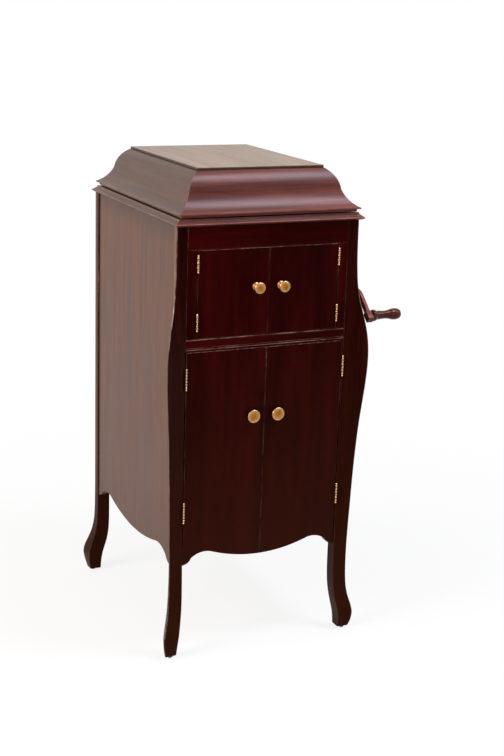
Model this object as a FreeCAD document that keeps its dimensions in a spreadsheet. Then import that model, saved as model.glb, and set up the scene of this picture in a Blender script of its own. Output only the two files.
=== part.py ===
"""Floor-standing wind-up cabinet phonograph, as an assembly of separate pieces.

Frame: X to the right, Y to the back, Z up, origin on the floor under the middle of the cabinet.
Every size is a named cell of the sheet; pieces that meet take their faces from the same cells.
"""
import FreeCAD, Part
import math
import os
import Sketcher
from FreeCAD import Placement, Rotation, Vector

doc = FreeCAD.newDocument("Phonograph")
sheet = doc.addObject("Spreadsheet::Sheet", "Sizes")

# Driving sizes in millimetres, degrees or counts
SIZES = {
    # cabinet carcase
    "post_span": 431.0, "front_reach": 256.3, "rear_reach": 263.5, "case_top": 971.5,
    "leg_wide": 25.3, "rear_leg_wide": 31.0, "front_leg_deep": 25.0, "rear_leg_deep": 24.2,
    "front_leg_show": 12.5, "seat_over": 1.0, "foot_split": 205.0, "rail_thick": 27.8,
    "glide_out": 2.5, "glide_front_out": 9.2, "leg_base": 4.0, "glide_radius": 6.5,
    "panel_inset": 2.7, "panel_thick": 12.0, "back_thick": 8.0, "back_drop": 16.0,
    "mid_rail_wide": 28.0, "mid_rail_top": 729.0, "top_rail_wide": 50.5,
    "stile_wide": 22.0, "board_thick": 12.0, "bottom_up": 42.5, "shelf_drop": 14.0,
    "divider_thick": 9.0,
    # scalloped lower edges
    "scallop_low": 213.5, "scallop_mid_up": 3.0, "scallop_knee_up": 14.5, "scallop_drop_up": 22.5,
    "knee_share": 0.88, "drop_share": 0.60, "knee_bow": 4.5, "peak_bow": 7.5,
    # doors, hinges and knobs
    "door_thick": 18.0, "door_gap": 0.8, "meeting_gap": 1.0, "hinge_gap": 2.0,
    "hinge_reach": 4.0, "barrel_radius": 2.6, "hinge_pin_radius": 1.4, "ball_radius": 2.2,
    "leaf_thick": 0.9, "leaf_deep": 20.0, "knuckle_gap": 0.3, "turning_gap": 0.05,
    "upper_hinge_long": 30.4, "lower_hinge_long": 40.3, "lid_hinge_long": 50.0,
    "upper_hinge_under": 29.0, "upper_hinge_over": 36.5,
    "lower_hinge_under": 59.0, "lower_hinge_over": 125.0, "lid_hinge_offset": 125.0,
    "knob_offset": 29.5, "upper_knob_height": 836.0, "lower_knob_height": 547.0,
    "upper_knob_radius": 13.0, "lower_knob_radius": 15.0,
    "upper_knob_reach": 24.0, "lower_knob_reach": 13.0,
    # case moulding and lid
    "moulding_side_over": 7.0, "moulding_over": 13.7, "moulding_height": 16.0,
    "moulding_wide": 38.0, "lid_gap": 2.0, "lid_inset": 4.5,
    "nose_under_in": 7.0, "nose_low_up": 3.8, "nose_high_up": 5.4, "nose_slope_in": 1.4, "nose_slope_up": 6.4,
    "nose_ledge_in": 10.5, "nose_ledge_up": 13.6, "nose_slope_radius": 40.0,
    "ogee_wide": 63.5, "ogee_height": 90.0, "ogee_edge": 8.0, "ogee_cut_back": 7.0, "ogee_quirk_up": 5.0,
    "ogee_nose_up": 5.8,
    "ogee_mid_in": 34.0, "ogee_mid_up": 46.5, "ogee_low_radius": 68.0, "ogee_high_radius": 60.0,
    "lid_wall_low": 15.0, "lid_wall_high": 16.0, "lid_board_thick": 5.5,
    "lid_axis_out": 4.5, "stay_long": 278.0, "stay_wide": 12.0, "stay_thick": 2.3,
    "stay_pin_radius": 3.0, "stay_pivot_in": 75.0, "stay_pivot_drop": 12.5, "bracket_half": 9.6,
    "stay_end_ease": 0.01,
    # motor board and what stands on it
    "board_drop": 31.5, "motor_board_thick": 15.0, "bearer_high": 20.0, "bearer_wide": 12.0,
    "bearer_long": 300.0, "spindle_front": 75.0, "platter_radius": 152.0, "platter_rise": 6.0,
    "platter_high": 10.0, "platter_skin": 4.0, "felt_thick": 1.5, "spindle_radius": 5.0,
    "spindle_tip_radius": 3.6, "spindle_seat_radius": 4.2, "spindle_rise": 12.5, "spindle_hole": 8.0,
    "cup_radius": 14.0, "cup_side": 168.0, "cup_front": 200.0, "cup_deep": 12.0,
    "cup_wall": 1.5, "cup_lip": 1.8, "cup_flange": 4.0,
    "lever_side": 118.0, "lever_front": 195.0, "lever_pin_radius": 3.0, "lever_pin_deep": 9.0,
    "lever_hub_radius": 7.0, "lever_cap_radius": 4.2, "lever_hub_height": 6.0, "lever_cap_height": 7.5,
    "lever_bar_low": 2.0, "lever_bar_thick": 3.0, "brake_bar_half": 4.0, "brake_shoe_half": 5.0,
    "brake_handle": 30.75, "brake_arm": 41.0, "brake_reach": 20.0, "brake_clear": 1.0,
    "speed_arm": 28.0, "speed_bar_half": 3.0, "speed_knob_radius": 5.0, "speed_knob_height": 10.0,
    "brake_angle": 44.5, "speed_angle": 320.0,
    # sound path
    "arm_back": 165.0, "throat_radius": 20.0, "throat_wall": 4.0, "elbow_bend": 60.0,
    "elbow_drop": 75.0, "flange_thick": 5.0, "flange_radius": 36.0,
    "sleeve_high": 22.0, "sleeve_radius": 22.0, "arm_stub_radius": 17.0, "arm_wall": 2.0,
    "arm_bore_gap": 0.06, "arm_rise": 52.0, "arm_bend": 20.0, "arm_long": 170.0,
    "arm_tip_radius": 12.0, "arm_angle": 38.3, "neck_radius": 9.0, "neck_stub": 10.0,
    "neck_run": 19.0, "neck_bend": 18.0, "neck_drop": 8.0, "sound_box_radius": 25.0,
    "sound_box_thick": 16.0, "record_thick": 2.5, "needle_radius": 0.9,
    "base_fillet": 2.0, "arm_clear": 1.0, "arm_collar_thick": 4.0, "neck_collar_thick": 5.0,
    "stylus_half": 1.5, "stylus_thick": 2.0, "stylus_drop": 3.0, "needle_in": 1.0,
    "horn_wall": 6.0, "horn_throat_half": 32.0, "horn_mouth_half": 166.0, "horn_mouth_gap": 4.0,
    "horn_roof_up": 97.0, "horn_middle": 40.0, "horn_middle_half": 95.0,
    "horn_front": 155.0, "horn_front_half": 140.0,
    # winding and motor
    "crank_front": 100.0, "crank_rise": 14.0, "crank_throw": 152.0, "crank_angle": 41.8,
    "crank_stand": 217.0, "crank_hub_long": 16.0, "crank_offset": 52.0, "crank_bar": 9.0,
    "crank_bar_wide": 14.0, "crank_hub_radius": 11.0, "winding_radius": 8.0,
    "escutcheon_radius": 21.0, "escutcheon_thick": 3.0, "bush_radius": 11.0,
    "grip_pin_radius": 4.0, "grip_pin_long": 67.4, "grip_long": 75.0, "grip_bulb_radius": 13.2,
    "grip_waist_radius": 9.3, "grip_collar_curve": 200.0, "grip_waist_curve": 90.0, "grip_bulb_curve": 30.0,
    "grip_end_curve": 9.0, "crank_end_thick": 15.0, "crank_end_wide": 17.0, "crank_end_back": 10.0,
    "crank_end_over": 14.0, "crank_first_bend": 22.8, "crank_last_bend": 84.0, "crank_bend_lap": 3.4,
    "bore_over": 1.0,
    "plate_drop": 14.0, "plate_apart": 83.0, "plate_thick": 5.0,
    "plate_left": 62.0, "plate_right": 125.0, "plate_front": 152.0, "plate_rear": 32.0,
    "pillar_radius": 6.0, "pillar_inset": 9.0, "nut_radius": 9.0, "nut_high": 4.0,
    "spur_module": 1.5, "crown_module": 2.0, "tooth_share": 0.30,
    "tooth_root": 1.1, "tooth_tip": 0.8, "flank_angle": 15.0, "tooth_sink": 0.8, "crown_tooth_deep": 1.9,
    "barrel_teeth": 60, "mid_pinion_teeth": 10, "mid_wheel_teeth": 36,
    "spindle_pinion_teeth": 12, "spindle_wheel_teeth": 40, "governor_teeth": 10,
    "crown_teeth": 26, "crank_pinion_teeth": 10,
    "barrel_spread": 80.0, "arbor_radius": 4.0, "thin_arbor_radius": 2.5,
    "drum_radius": 40.0, "drum_wall": 2.0, "drum_rise": 33.0, "drum_high": 38.0,
    "gear_thick": 5.0, "pinion_thick": 7.0, "crown_face": 6.0, "crown_thick": 4.0,
    "spring_thick": 0.9, "spring_pitch": 3.6, "spring_inner": 14.0, "spring_gap": 3.0, "spring_clear": 0.3,
    "governor_radius": 13.0, "weight_radius": 4.5, "governor_collar_up": 8.0, "governor_collar_thick": 4.0,
    "governor_disc_up": 4.0, "governor_disc_thick": 3.0, "governor_disc_over": 3.0, "governor_leaf_in": 2.0,
    "governor_leaf_radius": 1.5, "governor_leaf_sink": 2.0, "governor_weight_up": 8.0,
    "shaft_neck_radius": 6.4, "shaft_neck_long": 10.0, "shaft_lap": 2.0, "crown_sink": 1.0,
}

# Turned profiles as shares of the greatest radius and of the length
KNOB_PROFILE = [(0.72, 0), (0.72, 0.10), (0.40, 0.22), (0.34, 0.50), (0.62, 0.62), (1, 0.76), (1, 0.90),
                (0.84, 1)]
GRIP_PROFILE = [(1.02, 0.12), (0.82, 0.17), (0, 0.47), (0.92, 0.66), (1, 0.78), (0.86, 0.92), (0.42, 1)]
SOUND_BOX_PROFILE = [(0.55, 0), (0.80, 0.30), (1, 0.35), (1, 1), (0.82, 1), (0.82, 0.8)]
# Outward swell of the front legs' corner edge and inner-face edge, by share of the height from foot to case
FRONT_SWELL = [(1, 0, 0), (0.9132, 0.6, 0), (0.8545, 2, 0), (0.8089, 4.4, 0), (0.7632, 9.3, 0),
               (0.7175, 17, 0), (0.6719, 23.3, 0), (0.6262, 26.6, 0), (0.5806, 27.1, 0), (0.5258, 25.3, 0),
               (0.4631, 21.8, 0), (0.3914, 17.6, 0), (0.3066, 14.2, 0), (0.2153, 11.6, 0),
               (0.1435, 10.2, 0), (0.0718, 8.7, 2.5), (0, 7.8, 5)]
# Foot sections by share of the foot's height: how far the corner edge, the inner-face edge, the inner corner
# and the side edge stand outward
FRONT_FOOT = [(1, 7.8, 5, 0, 0), (0.801, 7.8, 6.4, 0, 0.5), (0.6269, 8.7, 8, 0.6, 2),
              (0.4975, 10.5, 9.8, 2, 4.2), (0.3781, 14.8, 13, 4.8, 8), (0.2736, 20.6, 17.4, 8.4, 12.2),
              (0.1891, 23.4, 19.8, 11.4, 14.8), (0.1144, 22.4, 19, 13.2, 14.2),
              (0.0498, 19.6, 16.8, 13.9, 12.4), (0, 16.4, 14.4, 14.2, 10.4)]
REAR_FOOT = [(1, 0, 0, 0, 0), (0.801, 0.6, 0.5, 0, 0.5), (0.6517, 2.4, 2, 0.4, 2),
             (0.5224, 6.8, 5.6, 1.8, 5.6), (0.403, 13.8, 11.4, 5, 11.4), (0.2985, 20.4, 17, 9.4, 17),
             (0.2189, 23, 19.2, 12.6, 19.2), (0.1443, 21.4, 18, 14.6, 18), (0.0697, 18, 15.6, 15.8, 15.6),
             (0, 14.2, 13, 16.4, 13)]


class Size:
    """A number together with the sheet expression that drives it."""

    def __init__(self, value, text):
        self.value = value
        self.text = text

    def __add__(self, other):
        other = sized(other)
        return Size(self.value + other.value, "(%s + %s)" % (self.text, other.text))

    __radd__ = __add__

    def __sub__(self, other):
        other = sized(other)
        return Size(self.value - other.value, "(%s - %s)" % (self.text, other.text))

    def __rsub__(self, other):
        return sized(other) - self

    def __mul__(self, other):
        other = sized(other)
        return Size(self.value * other.value, "(%s * %s)" % (self.text, other.text))

    __rmul__ = __mul__

    def __truediv__(self, other):
        other = sized(other)
        return Size(self.value / other.value, "(%s / %s)" % (self.text, other.text))

    def __neg__(self):
        return Size(-self.value, "(0 - %s)" % self.text)

    def root(self):
        return Size(math.sqrt(self.value), "sqrt(%s)" % self.text)


def sized(value):
    return value if isinstance(value, Size) else Size(float(value), repr(float(value)))


class Named:
    """Holds each sheet cell as a Size attribute."""


def write_cell(row, alias, value):
    sheet.set("A%d" % row, alias)
    sheet.set("B%d" % row, repr(value))
    sheet.setAlias("B%d" % row, alias)
    return Size(float(value), "Sizes." + alias)


s = Named()
next_row = 1
for alias, value in SIZES.items():
    setattr(s, alias, write_cell(next_row, alias, value))
    next_row += 1


def table(prefix, rows):
    """Writes rows of numbers to the sheet and gives them back as Sizes."""
    global next_row
    out = []
    for number, row in enumerate(rows):
        cells = []
        for letter, value in zip("abcde", row):
            alias = "%s_%s_row%d" % (prefix, letter, number)
            cells.append(write_cell(next_row, alias, float(value)))
            next_row += 1
        out.append(cells)
    return out


def at_heights(rows, low, high):
    """Turns each row's share into a height between two sizes."""
    return [[low + (high - low) * row[0]] + row[1:] for row in rows]


front_swell = at_heights(table("swell", FRONT_SWELL), s.foot_split, s.case_top)
front_foot = at_heights(table("frontfoot", FRONT_FOOT), s.leg_base, s.foot_split)
rear_foot = at_heights(table("rearfoot", REAR_FOOT), s.leg_base, s.foot_split)
doc.recompute()

FACING = {"top": Rotation(), "front": Rotation(Vector(1, 0, 0), 90), "side": Rotation(Vector(1, 1, 1), 120)}
ALONG = {"x": Rotation(Vector(0, 1, 0), 90), "y": Rotation(Vector(1, 0, 0), -90), "z": Rotation()}
nodes = {}


def bind(obj, prop, size):
    size = sized(size)
    obj.setExpression(prop, size.text)


def place(obj, x, y, z, rotation=None):
    """Puts the object's origin at x, y, z and keeps it bound there."""
    spot = [sized(v) for v in (x, y, z)]
    obj.Placement = Placement(Vector(*[v.value for v in spot]), rotation or Rotation())
    for axis, v in zip("xyz", spot):
        obj.setExpression("Placement.Base." + axis, v.text)
    return obj


def node(name, obj):
    """Names a finished piece; the label gives its file name."""
    obj.Label = name
    nodes[name] = obj
    return obj


def box(name, x0, x1, y0, y1, z0, z1):
    obj = doc.addObject("Part::Box", name)
    bind(obj, "Length", sized(x1) - x0)
    bind(obj, "Width", sized(y1) - y0)
    bind(obj, "Height", sized(z1) - z0)
    return place(obj, x0, y0, z0)


def rod(name, along, at, radius, length):
    obj = doc.addObject("Part::Cylinder", name)
    bind(obj, "Radius", radius)
    bind(obj, "Height", length)
    return place(obj, *at, ALONG[along])


def cone(name, at, radius, end_radius, length, rotation):
    obj = doc.addObject("Part::Cone", name)
    bind(obj, "Radius1", radius)
    bind(obj, "Radius2", end_radius)
    bind(obj, "Height", length)
    return place(obj, *at, rotation)


def bend(name, at, bend_radius, radius, rotation):
    """A quarter of a torus, from its local X axis to its local Y axis."""
    obj = doc.addObject("Part::Torus", name)
    bind(obj, "Radius1", bend_radius)
    bind(obj, "Radius2", radius)
    obj.Angle3 = 90
    return place(obj, *at, rotation)


def ball(name, at, radius):
    obj = doc.addObject("Part::Sphere", name)
    bind(obj, "Radius", radius)
    return place(obj, *at)


def fuse(name, shapes):
    obj = doc.addObject("Part::MultiFuse", name)
    obj.Shapes = shapes
    obj.Refine = True
    return obj


def cut(name, base, tool):
    obj = doc.addObject("Part::Cut", name)
    obj.Base = base
    obj.Tool = tool
    return obj


def group(name, shapes):
    """Separate solids that share one node."""
    obj = doc.addObject("Part::Compound", name)
    obj.Links = shapes
    return obj


def mirror(name, source, normal=(1, 0, 0), height=None):
    obj = doc.addObject("Part::Mirroring", name)
    obj.Source = source
    obj.Normal = Vector(*normal)
    if height is not None:
        bind(obj, "Base.z", height)
    return obj


def origin_plane(body, role):
    return [f for f in body.Origin.OriginFeatures if f.Role == role][0]


def outline(body, name, points, arcs=None, holes=(), lift=None):
    """A closed outline with every corner pinned to the sheet.

    arcs maps an edge number to (radius, side): side 1 bows to the left of the travel, -1 to the right.
    """
    arcs = arcs or {}
    sketch = body.newObject("Sketcher::SketchObject", name)
    sketch.AttachmentSupport = (origin_plane(body, "XY_Plane"), [""])
    sketch.MapMode = "FlatFace"
    if lift is not None:
        lift = sized(lift)
        sketch.AttachmentOffset = Placement(Vector(0, 0, lift.value), Rotation())
        sketch.setExpression("AttachmentOffset.Base.z", lift.text)
    pins = [(sized(u), sized(v)) for u, v in points]
    spots = [Vector(u.value, v.value, 0) for u, v in pins]
    count = len(spots)
    ends = []
    for i in range(count):
        a, b = spots[i], spots[(i + 1) % count]
        if i in arcs:
            radius, side = arcs[i]
            chord = b - a
            half = chord.Length / 2
            rise = sized(radius).value - math.sqrt(sized(radius).value ** 2 - half ** 2)
            middle = (a + b) * 0.5 + Vector(-chord.y, chord.x, 0).normalize() * (rise * side)
            if side > 0:
                sketch.addGeometry(Part.Arc(b, middle, a))
                ends.append((2, 1))
            else:
                sketch.addGeometry(Part.Arc(a, middle, b))
                ends.append((1, 2))
        else:
            sketch.addGeometry(Part.LineSegment(a, b))
            ends.append((1, 2))

    def rule(*words):
        return sketch.addConstraint(Sketcher.Constraint(*words))

    for i in range(count):
        after = (i + 1) % count
        rule("Coincident", i, ends[i][1], after, ends[after][0])
    for i, (u, v) in enumerate(pins):
        for kind, size in (("DistanceX", u), ("DistanceY", v)):
            number = rule(kind, -1, 1, i, ends[i][0], size.value)
            sketch.setExpression("Constraints[%d]" % number, size.text)
    for i, (radius, side) in arcs.items():
        number = rule("Radius", i, sized(radius).value)
        sketch.setExpression("Constraints[%d]" % number, sized(radius).text)
    for u, v, radius in holes:
        u, v, radius = sized(u), sized(v), sized(radius)
        ring = sketch.addGeometry(Part.Circle(Vector(u.value, v.value, 0), Vector(0, 0, 1), radius.value))
        for kind, size in (("DistanceX", u), ("DistanceY", v)):
            number = rule(kind, -1, 1, ring, 3, size.value)
            sketch.setExpression("Constraints[%d]" % number, size.text)
        number = rule("Radius", ring, radius.value)
        sketch.setExpression("Constraints[%d]" % number, radius.text)
    return sketch


def padded(body, name, sketch, thick):
    pad = body.newObject("PartDesign::Pad", name)
    pad.Profile = sketch
    bind(pad, "Length", thick)
    return pad


def plate(name, facing, points, at, thick, arcs=None, holes=()):
    """A flat piece cut to an outline; at is its start along its own thickness."""
    body = doc.addObject("PartDesign::Body", name)
    padded(body, name + "_pad", outline(body, name + "_outline", points, arcs, holes), thick)
    at = sized(at)
    spot = {"top": (0, 0, at), "front": (0, at, 0), "side": (at, 0, 0)}[facing]
    return place(body, *spot, FACING[facing])


def turned(name, points, at, along, arcs=None):
    """A piece turned on a lathe: points are radius and height along the axis."""
    spin = {"z": Rotation(Vector(1, 0, 0), 90), "x": Rotation(Vector(0, 0, 1), -90),
            "front": Rotation(Vector(0, 0, 1), 180)}[along]
    body = doc.addObject("PartDesign::Body", name)
    sketch = outline(body, name + "_profile", points, arcs)
    lathe = body.newObject("PartDesign::Revolution", name + "_turn")
    lathe.Profile = sketch
    lathe.ReferenceAxis = (sketch, ["V_Axis"])
    lathe.Angle = 360
    return place(body, *at, spin)


def lofted(body, name, sketches, ruled=False, kind="PartDesign::AdditiveLoft"):
    loft = body.newObject(kind, name)
    loft.Profile = sketches[0]
    loft.Sections = sketches[1:]
    loft.Ruled = ruled
    return loft


# Shared places, worked out from the sheet
post_out = s.post_span / 2
leg_in = post_out - s.leg_wide
rear_leg_in = post_out - s.rear_leg_wide
front_in = s.front_reach - s.rail_thick
post_in = s.front_reach - s.front_leg_show
leg_back = s.front_reach - s.front_leg_deep
rear_in = s.rear_reach - s.rear_leg_deep
panel_out = post_out - s.panel_inset
panel_in = panel_out - s.panel_thick
stile_in = leg_in - s.stile_wide
lower_axis = leg_in - s.hinge_gap / 2
upper_axis = stile_in - s.hinge_gap / 2
hinge_front = s.front_reach + s.hinge_reach

# Heights of the front, from the rail and the scallop
mid_rail_low = s.mid_rail_top - s.mid_rail_wide
top_rail_low = s.case_top - s.top_rail_wide
shelf_top = s.mid_rail_top - s.shelf_drop
scallop_mid = s.scallop_low + s.scallop_mid_up
scallop_knee = s.scallop_low + s.scallop_knee_up
scallop_drop = s.scallop_low + s.scallop_drop_up
bottom_top = s.scallop_low + s.bottom_up
back_low = bottom_top - s.back_drop
upper_hinge_top = top_rail_low - s.upper_hinge_under
upper_hinge_bottom = s.mid_rail_top + s.upper_hinge_over
lower_hinge_top = mid_rail_low - s.lower_hinge_under
lower_hinge_bottom = s.scallop_low + s.lower_hinge_over
horn_mouth_top = top_rail_low - s.horn_mouth_gap
horn_roof = shelf_top + s.horn_roof_up

# Heights above and below the motor board
board_top = s.case_top - s.board_drop
board_low = board_top - s.motor_board_thick
platter_base = board_top + s.platter_rise
platter_top = platter_base + s.platter_high
felt_top = platter_top + s.felt_thick
spindle_top = felt_top + s.spindle_rise
needle_tip = felt_top + s.record_thick
arm_height = board_top + s.arm_rise
plate_top = board_low - s.plate_drop
plate_bottom = plate_top - s.plate_apart
drum_low = plate_bottom + s.drum_rise
drum_top = drum_low + s.drum_high
crank_height = plate_bottom + s.crank_rise

# Moulding and lid
moulding_half_x = post_out + s.moulding_side_over
moulding_half_y = s.front_reach + s.moulding_over
moulding_top = s.case_top + s.moulding_height
lid_low = moulding_top + s.lid_gap
lid_half_x = moulding_half_x - s.lid_inset * 2
lid_half_y = moulding_half_y - s.lid_inset
lid_top = lid_low + s.ogee_height

# Legs: the front pair swells at the knee, all four kick out at the foot


def leg_section(body, name, u_in, v_in, v_side, v_out, row):
    """Inner corner, side edge, outer corner and inner-face edge of a leg at one height."""
    height, swell, edge = row[:3]
    inner, side = row[3:] if len(row) > 3 else (sized(0), sized(0))
    points = [(u_in + inner, v_in + inner), (post_out + side, v_side + inner),
              (post_out + swell, v_out + swell), (u_in + inner, v_out + edge)]
    return outline(body, name, points, lift=height)


def leg(name, u_in, v_in, v_side, v_out, upper, foot):
    body = doc.addObject("PartDesign::Body", name)
    for part, rows in (("knee", upper), ("foot", foot)):
        cuts = [leg_section(body, "%s_%s%d" % (name, part, i), u_in, v_in, v_side, v_out, row)
                for i, row in enumerate(rows)]
        lofted(body, "%s_%s" % (name, part), cuts)
        doc.recompute()
    return body


straight = [(s.case_top, sized(0), sized(0)), (s.foot_split, sized(0), sized(0))]
rear_right = leg("rear_right", rear_leg_in, rear_in, rear_in, s.rear_reach, straight, rear_foot)
front_right_back = leg("front_right", leg_in, leg_back, post_in, s.front_reach, front_swell, front_foot)
front_right_whole = mirror("front_right_turned", front_right_back, (0, 1, 0))
node("rear_right_leg", rear_right)
node("rear_left_leg", mirror("rear_left", rear_right))


def glide(name, x, y):
    r = s.glide_radius
    return turned(name, [(0, 0), (r * 0.6, 0), (r, s.leg_base), (0, s.leg_base)], (x, y, 0), "z")


glide_x = post_out + s.glide_out
front_glide_y = -s.front_reach - s.glide_front_out
rear_glide_y = s.rear_reach + s.rear_leg_deep * 0.1
front_glide = glide("front_glide", glide_x, front_glide_y)
rear_glide = glide("rear_glide", glide_x, rear_glide_y)
node("foot_glides", group("glides", [front_glide, rear_glide, mirror("front_glide_left", front_glide),
                                     mirror("rear_glide_left", rear_glide)]))


# Boards with a scalloped lower edge


def scallop_half(half):
    """Corner points from the end of the edge to its middle, and the radii of the arcs between."""
    knee, drop = half * s.knee_share, half * s.drop_share
    points = [(half, s.scallop_low), (knee, scallop_knee), (drop, scallop_drop),
              (sized(0), scallop_mid)]

    def radius_for(a, b, bow):
        span = ((a[0] - b[0]) * (a[0] - b[0]) + (a[1] - b[1]) * (a[1] - b[1])) / 4
        return (span + bow * bow) / (bow * 2)

    sag_rise = scallop_drop - scallop_mid
    sag = (drop * drop + sag_rise * sag_rise) / (sag_rise * 2)
    radii = [radius_for(points[0], points[1], s.knee_bow), radius_for(points[1], points[2], s.peak_bow), sag]
    return points, radii


side_mid = (rear_in - post_in) / 2
side_half = (rear_in + post_in) / 2
side_points, side_radii = scallop_half(side_half)


def side_panel(name, start, thick, holes=()):
    right = [(side_mid + u, v) for u, v in side_points]
    left = [(side_mid - u, v) for u, v in reversed(side_points[:-1])]
    points = [(rear_in, s.case_top), (-post_in, s.case_top)] + left[::-1] + right[::-1]
    r1, r2, r3 = side_radii
    arcs = {2: (r1, -1), 3: (r2, 1), 4: (r3, -1), 5: (r3, -1), 6: (r2, 1), 7: (r1, -1)}
    return plate(name, "side", points, start, thick, arcs, holes)


crank_hole = (-s.crank_front, crank_height, s.bush_radius)
node("left_side_panel", side_panel("left_panel", -panel_out, s.panel_thick))
node("right_side_panel", side_panel("right_panel", panel_in, s.panel_thick, [crank_hole]))

# The front legs are rebated for the panels
panel_seat = side_panel("panel_seat", panel_in, s.panel_thick + s.panel_inset + s.seat_over)
front_right = cut("front_right_rebated", front_right_whole, panel_seat)
node("front_right_leg", front_right)
node("front_left_leg", mirror("front_left", front_right))

node("back_panel", box("back", -rear_leg_in, rear_leg_in, rear_in, rear_in + s.back_thick,
                       back_low, s.case_top))
node("top_rail", box("upper_rail", -leg_in, leg_in, -s.front_reach, -front_in, top_rail_low, s.case_top))
node("middle_rail", box("mid_rail", -leg_in, leg_in, -s.front_reach, -front_in,
                        mid_rail_low, s.mid_rail_top))
right_stile = box("right_stile", stile_in, leg_in, -s.front_reach, -front_in, s.mid_rail_top, top_rail_low)
node("upper_stiles", group("stiles", [right_stile, mirror("left_stile", right_stile)]))

node("bottom_board", box("floor_board", -panel_in, panel_in, -front_in, rear_in,
                         bottom_top - s.board_thick, bottom_top))
node("horn_shelf", box("shelf", -panel_in, panel_in, -front_in, rear_in,
                       shelf_top - s.board_thick, shelf_top))
dividers = []
for number in (-1, 0, 1):
    middle, half = panel_in * (number * 0.5), s.divider_thick / 2
    dividers.append(box("divider%d" % (number + 2), middle - half, middle + half, -front_in, rear_in,
                        bottom_top, shelf_top - s.board_thick))
node("record_dividers", group("dividers", dividers))

right_bearer = box("right_bearer", panel_in - s.bearer_wide, panel_in, -s.bearer_long / 2, s.bearer_long / 2,
                   board_low - s.bearer_high, board_low)
node("board_bearers", group("bearers", [right_bearer, mirror("left_bearer", right_bearer)]))

running = s.turning_gap
board_holes = [(sized(0), -s.spindle_front, s.spindle_hole), (sized(0), s.arm_back, s.throat_radius),
               (s.lever_side, -s.lever_front, s.lever_pin_radius + running),
               (-s.lever_side, -s.lever_front, s.lever_pin_radius + running),
               (s.cup_side, -s.cup_front, s.cup_radius), (-s.cup_side, -s.cup_front, s.cup_radius)]
node("motor_board", plate("deck", "top", [(-panel_in, -front_in), (panel_in, -front_in),
                                          (panel_in, rear_in), (-panel_in, rear_in)],
                          board_low, s.motor_board_thick, holes=board_holes))


# Mitred frames: the moulding on the case and the ogee of the lid


def mitred_side(name, profile, arcs, half_long, reach, turn, height):
    """One side of a frame: a profile run along the side, its ends cut at 45 degrees."""
    body = doc.addObject("PartDesign::Body", name)
    points = [(-(sized(reach) - inset), up) for inset, up in profile]
    sketch = outline(body, name + "_profile", points, arcs, lift=-half_long)
    padded(body, name + "_run", sketch, half_long * 2)
    doc.recompute()
    run = place(body, 0, 0, height, Rotation(Vector(1, 1, 1), 120))
    corner = doc.addObject("Part::Wedge", name + "_mitre")
    depth, tall = s.ogee_wide + s.lid_wall_high * 2, s.ogee_height * 2
    bind(corner, "Xmin", -half_long)
    bind(corner, "Xmax", half_long)
    bind(corner, "X2min", depth - half_long)
    bind(corner, "X2max", half_long - depth)
    bind(corner, "Ymin", -sized(reach))
    bind(corner, "Ymax", depth - reach)
    bind(corner, "Zmin", sized(0))
    bind(corner, "Zmax", tall)
    bind(corner, "Z2min", sized(0))
    bind(corner, "Z2max", tall)
    place(corner, 0, 0, height)
    side = doc.addObject("Part::Common", name + "_side")
    side.Base = run
    side.Tool = corner
    side.Placement = Placement(Vector(0, 0, 0), Rotation(Vector(0, 0, 1), turn))
    return side


def mitred_frame(name, profile, arcs, half_x, half_y, height):
    sides = []
    for word, half_long, reach, turn in (("front", half_x, half_y, 0), ("right", half_y, half_x, 90),
                                         ("back", half_x, half_y, 180), ("left", half_y, half_x, 270)):
        sides.append(mitred_side("%s_%s" % (name, word), profile, arcs, half_long, reach, turn, height))
    return group(name, sides)


case_profile = [(s.moulding_wide, sized(0)), (s.nose_under_in, sized(0)), (sized(0), s.nose_low_up),
                (sized(0), s.nose_high_up), (s.nose_slope_in, s.nose_slope_up),
                (s.nose_ledge_in, s.nose_ledge_up), (s.nose_ledge_in, s.moulding_height),
                (s.moulding_wide, s.moulding_height)]
node("case_moulding", mitred_frame("moulding", case_profile, {4: (s.nose_slope_radius, -1)}, moulding_half_x,
                                   moulding_half_y, s.case_top))
ogee = [(s.ogee_cut_back + s.lid_wall_low, sized(0)), (s.ogee_cut_back, sized(0)),
        (s.ogee_cut_back, s.ogee_quirk_up), (sized(0), s.ogee_nose_up), (sized(0), s.ogee_edge),
        (s.ogee_mid_in, s.ogee_mid_up), (s.ogee_wide, s.ogee_height),
        (s.ogee_wide + s.lid_wall_high, s.ogee_height)]
node("lid_mouldings", mitred_frame("ogee", ogee, {4: (s.ogee_low_radius, -1), 5: (s.ogee_high_radius, 1)},
                                   lid_half_x, lid_half_y, lid_low))
board_x, board_y = lid_half_x - s.ogee_wide, lid_half_y - s.ogee_wide
node("lid_top_board", box("lid_board", -board_x, board_x, -board_y, board_y, lid_top,
                          lid_top + s.lid_board_thick))

# Doors: each carries its knob and its half of the hinges


def door(name, edge, low, high):
    """The right door of a pair; without a low edge it gets the scalloped one."""
    meeting, arcs = s.meeting_gap / 2, None
    points = [(edge, low), (meeting, low)]
    if low is None:
        points, radii = scallop_half(leg_in)
        points = [(edge, points[0][1])] + points[1:-1] + [(meeting, points[-1][1])]
        arcs = {0: (radii[0], 1), 1: (radii[1], -1), 2: (radii[2], 1)}
    points = points + [(meeting, high), (edge, high)]
    return plate(name, "front", points, -s.front_reach + s.door_thick, s.door_thick, arcs)


upper_edge = stile_in - s.hinge_gap
lower_edge = leg_in - s.hinge_gap
upper_right = door("upper_right", upper_edge, s.mid_rail_top + s.door_gap, top_rail_low - s.door_gap)
lower_right = door("lower_right", lower_edge, None, mid_rail_low - s.door_gap)
node("upper_right_door", upper_right)
node("upper_left_door", mirror("upper_left", upper_right))
node("lower_right_door", lower_right)
node("lower_left_door", mirror("lower_left", lower_right))


def knob(name, height, radius, reach):
    points = [(0, 0)] + [(radius * u, reach * v) for u, v in KNOB_PROFILE] + [(0, reach)]
    return turned(name, points, (s.knob_offset, -s.front_reach, height), "front")


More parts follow.
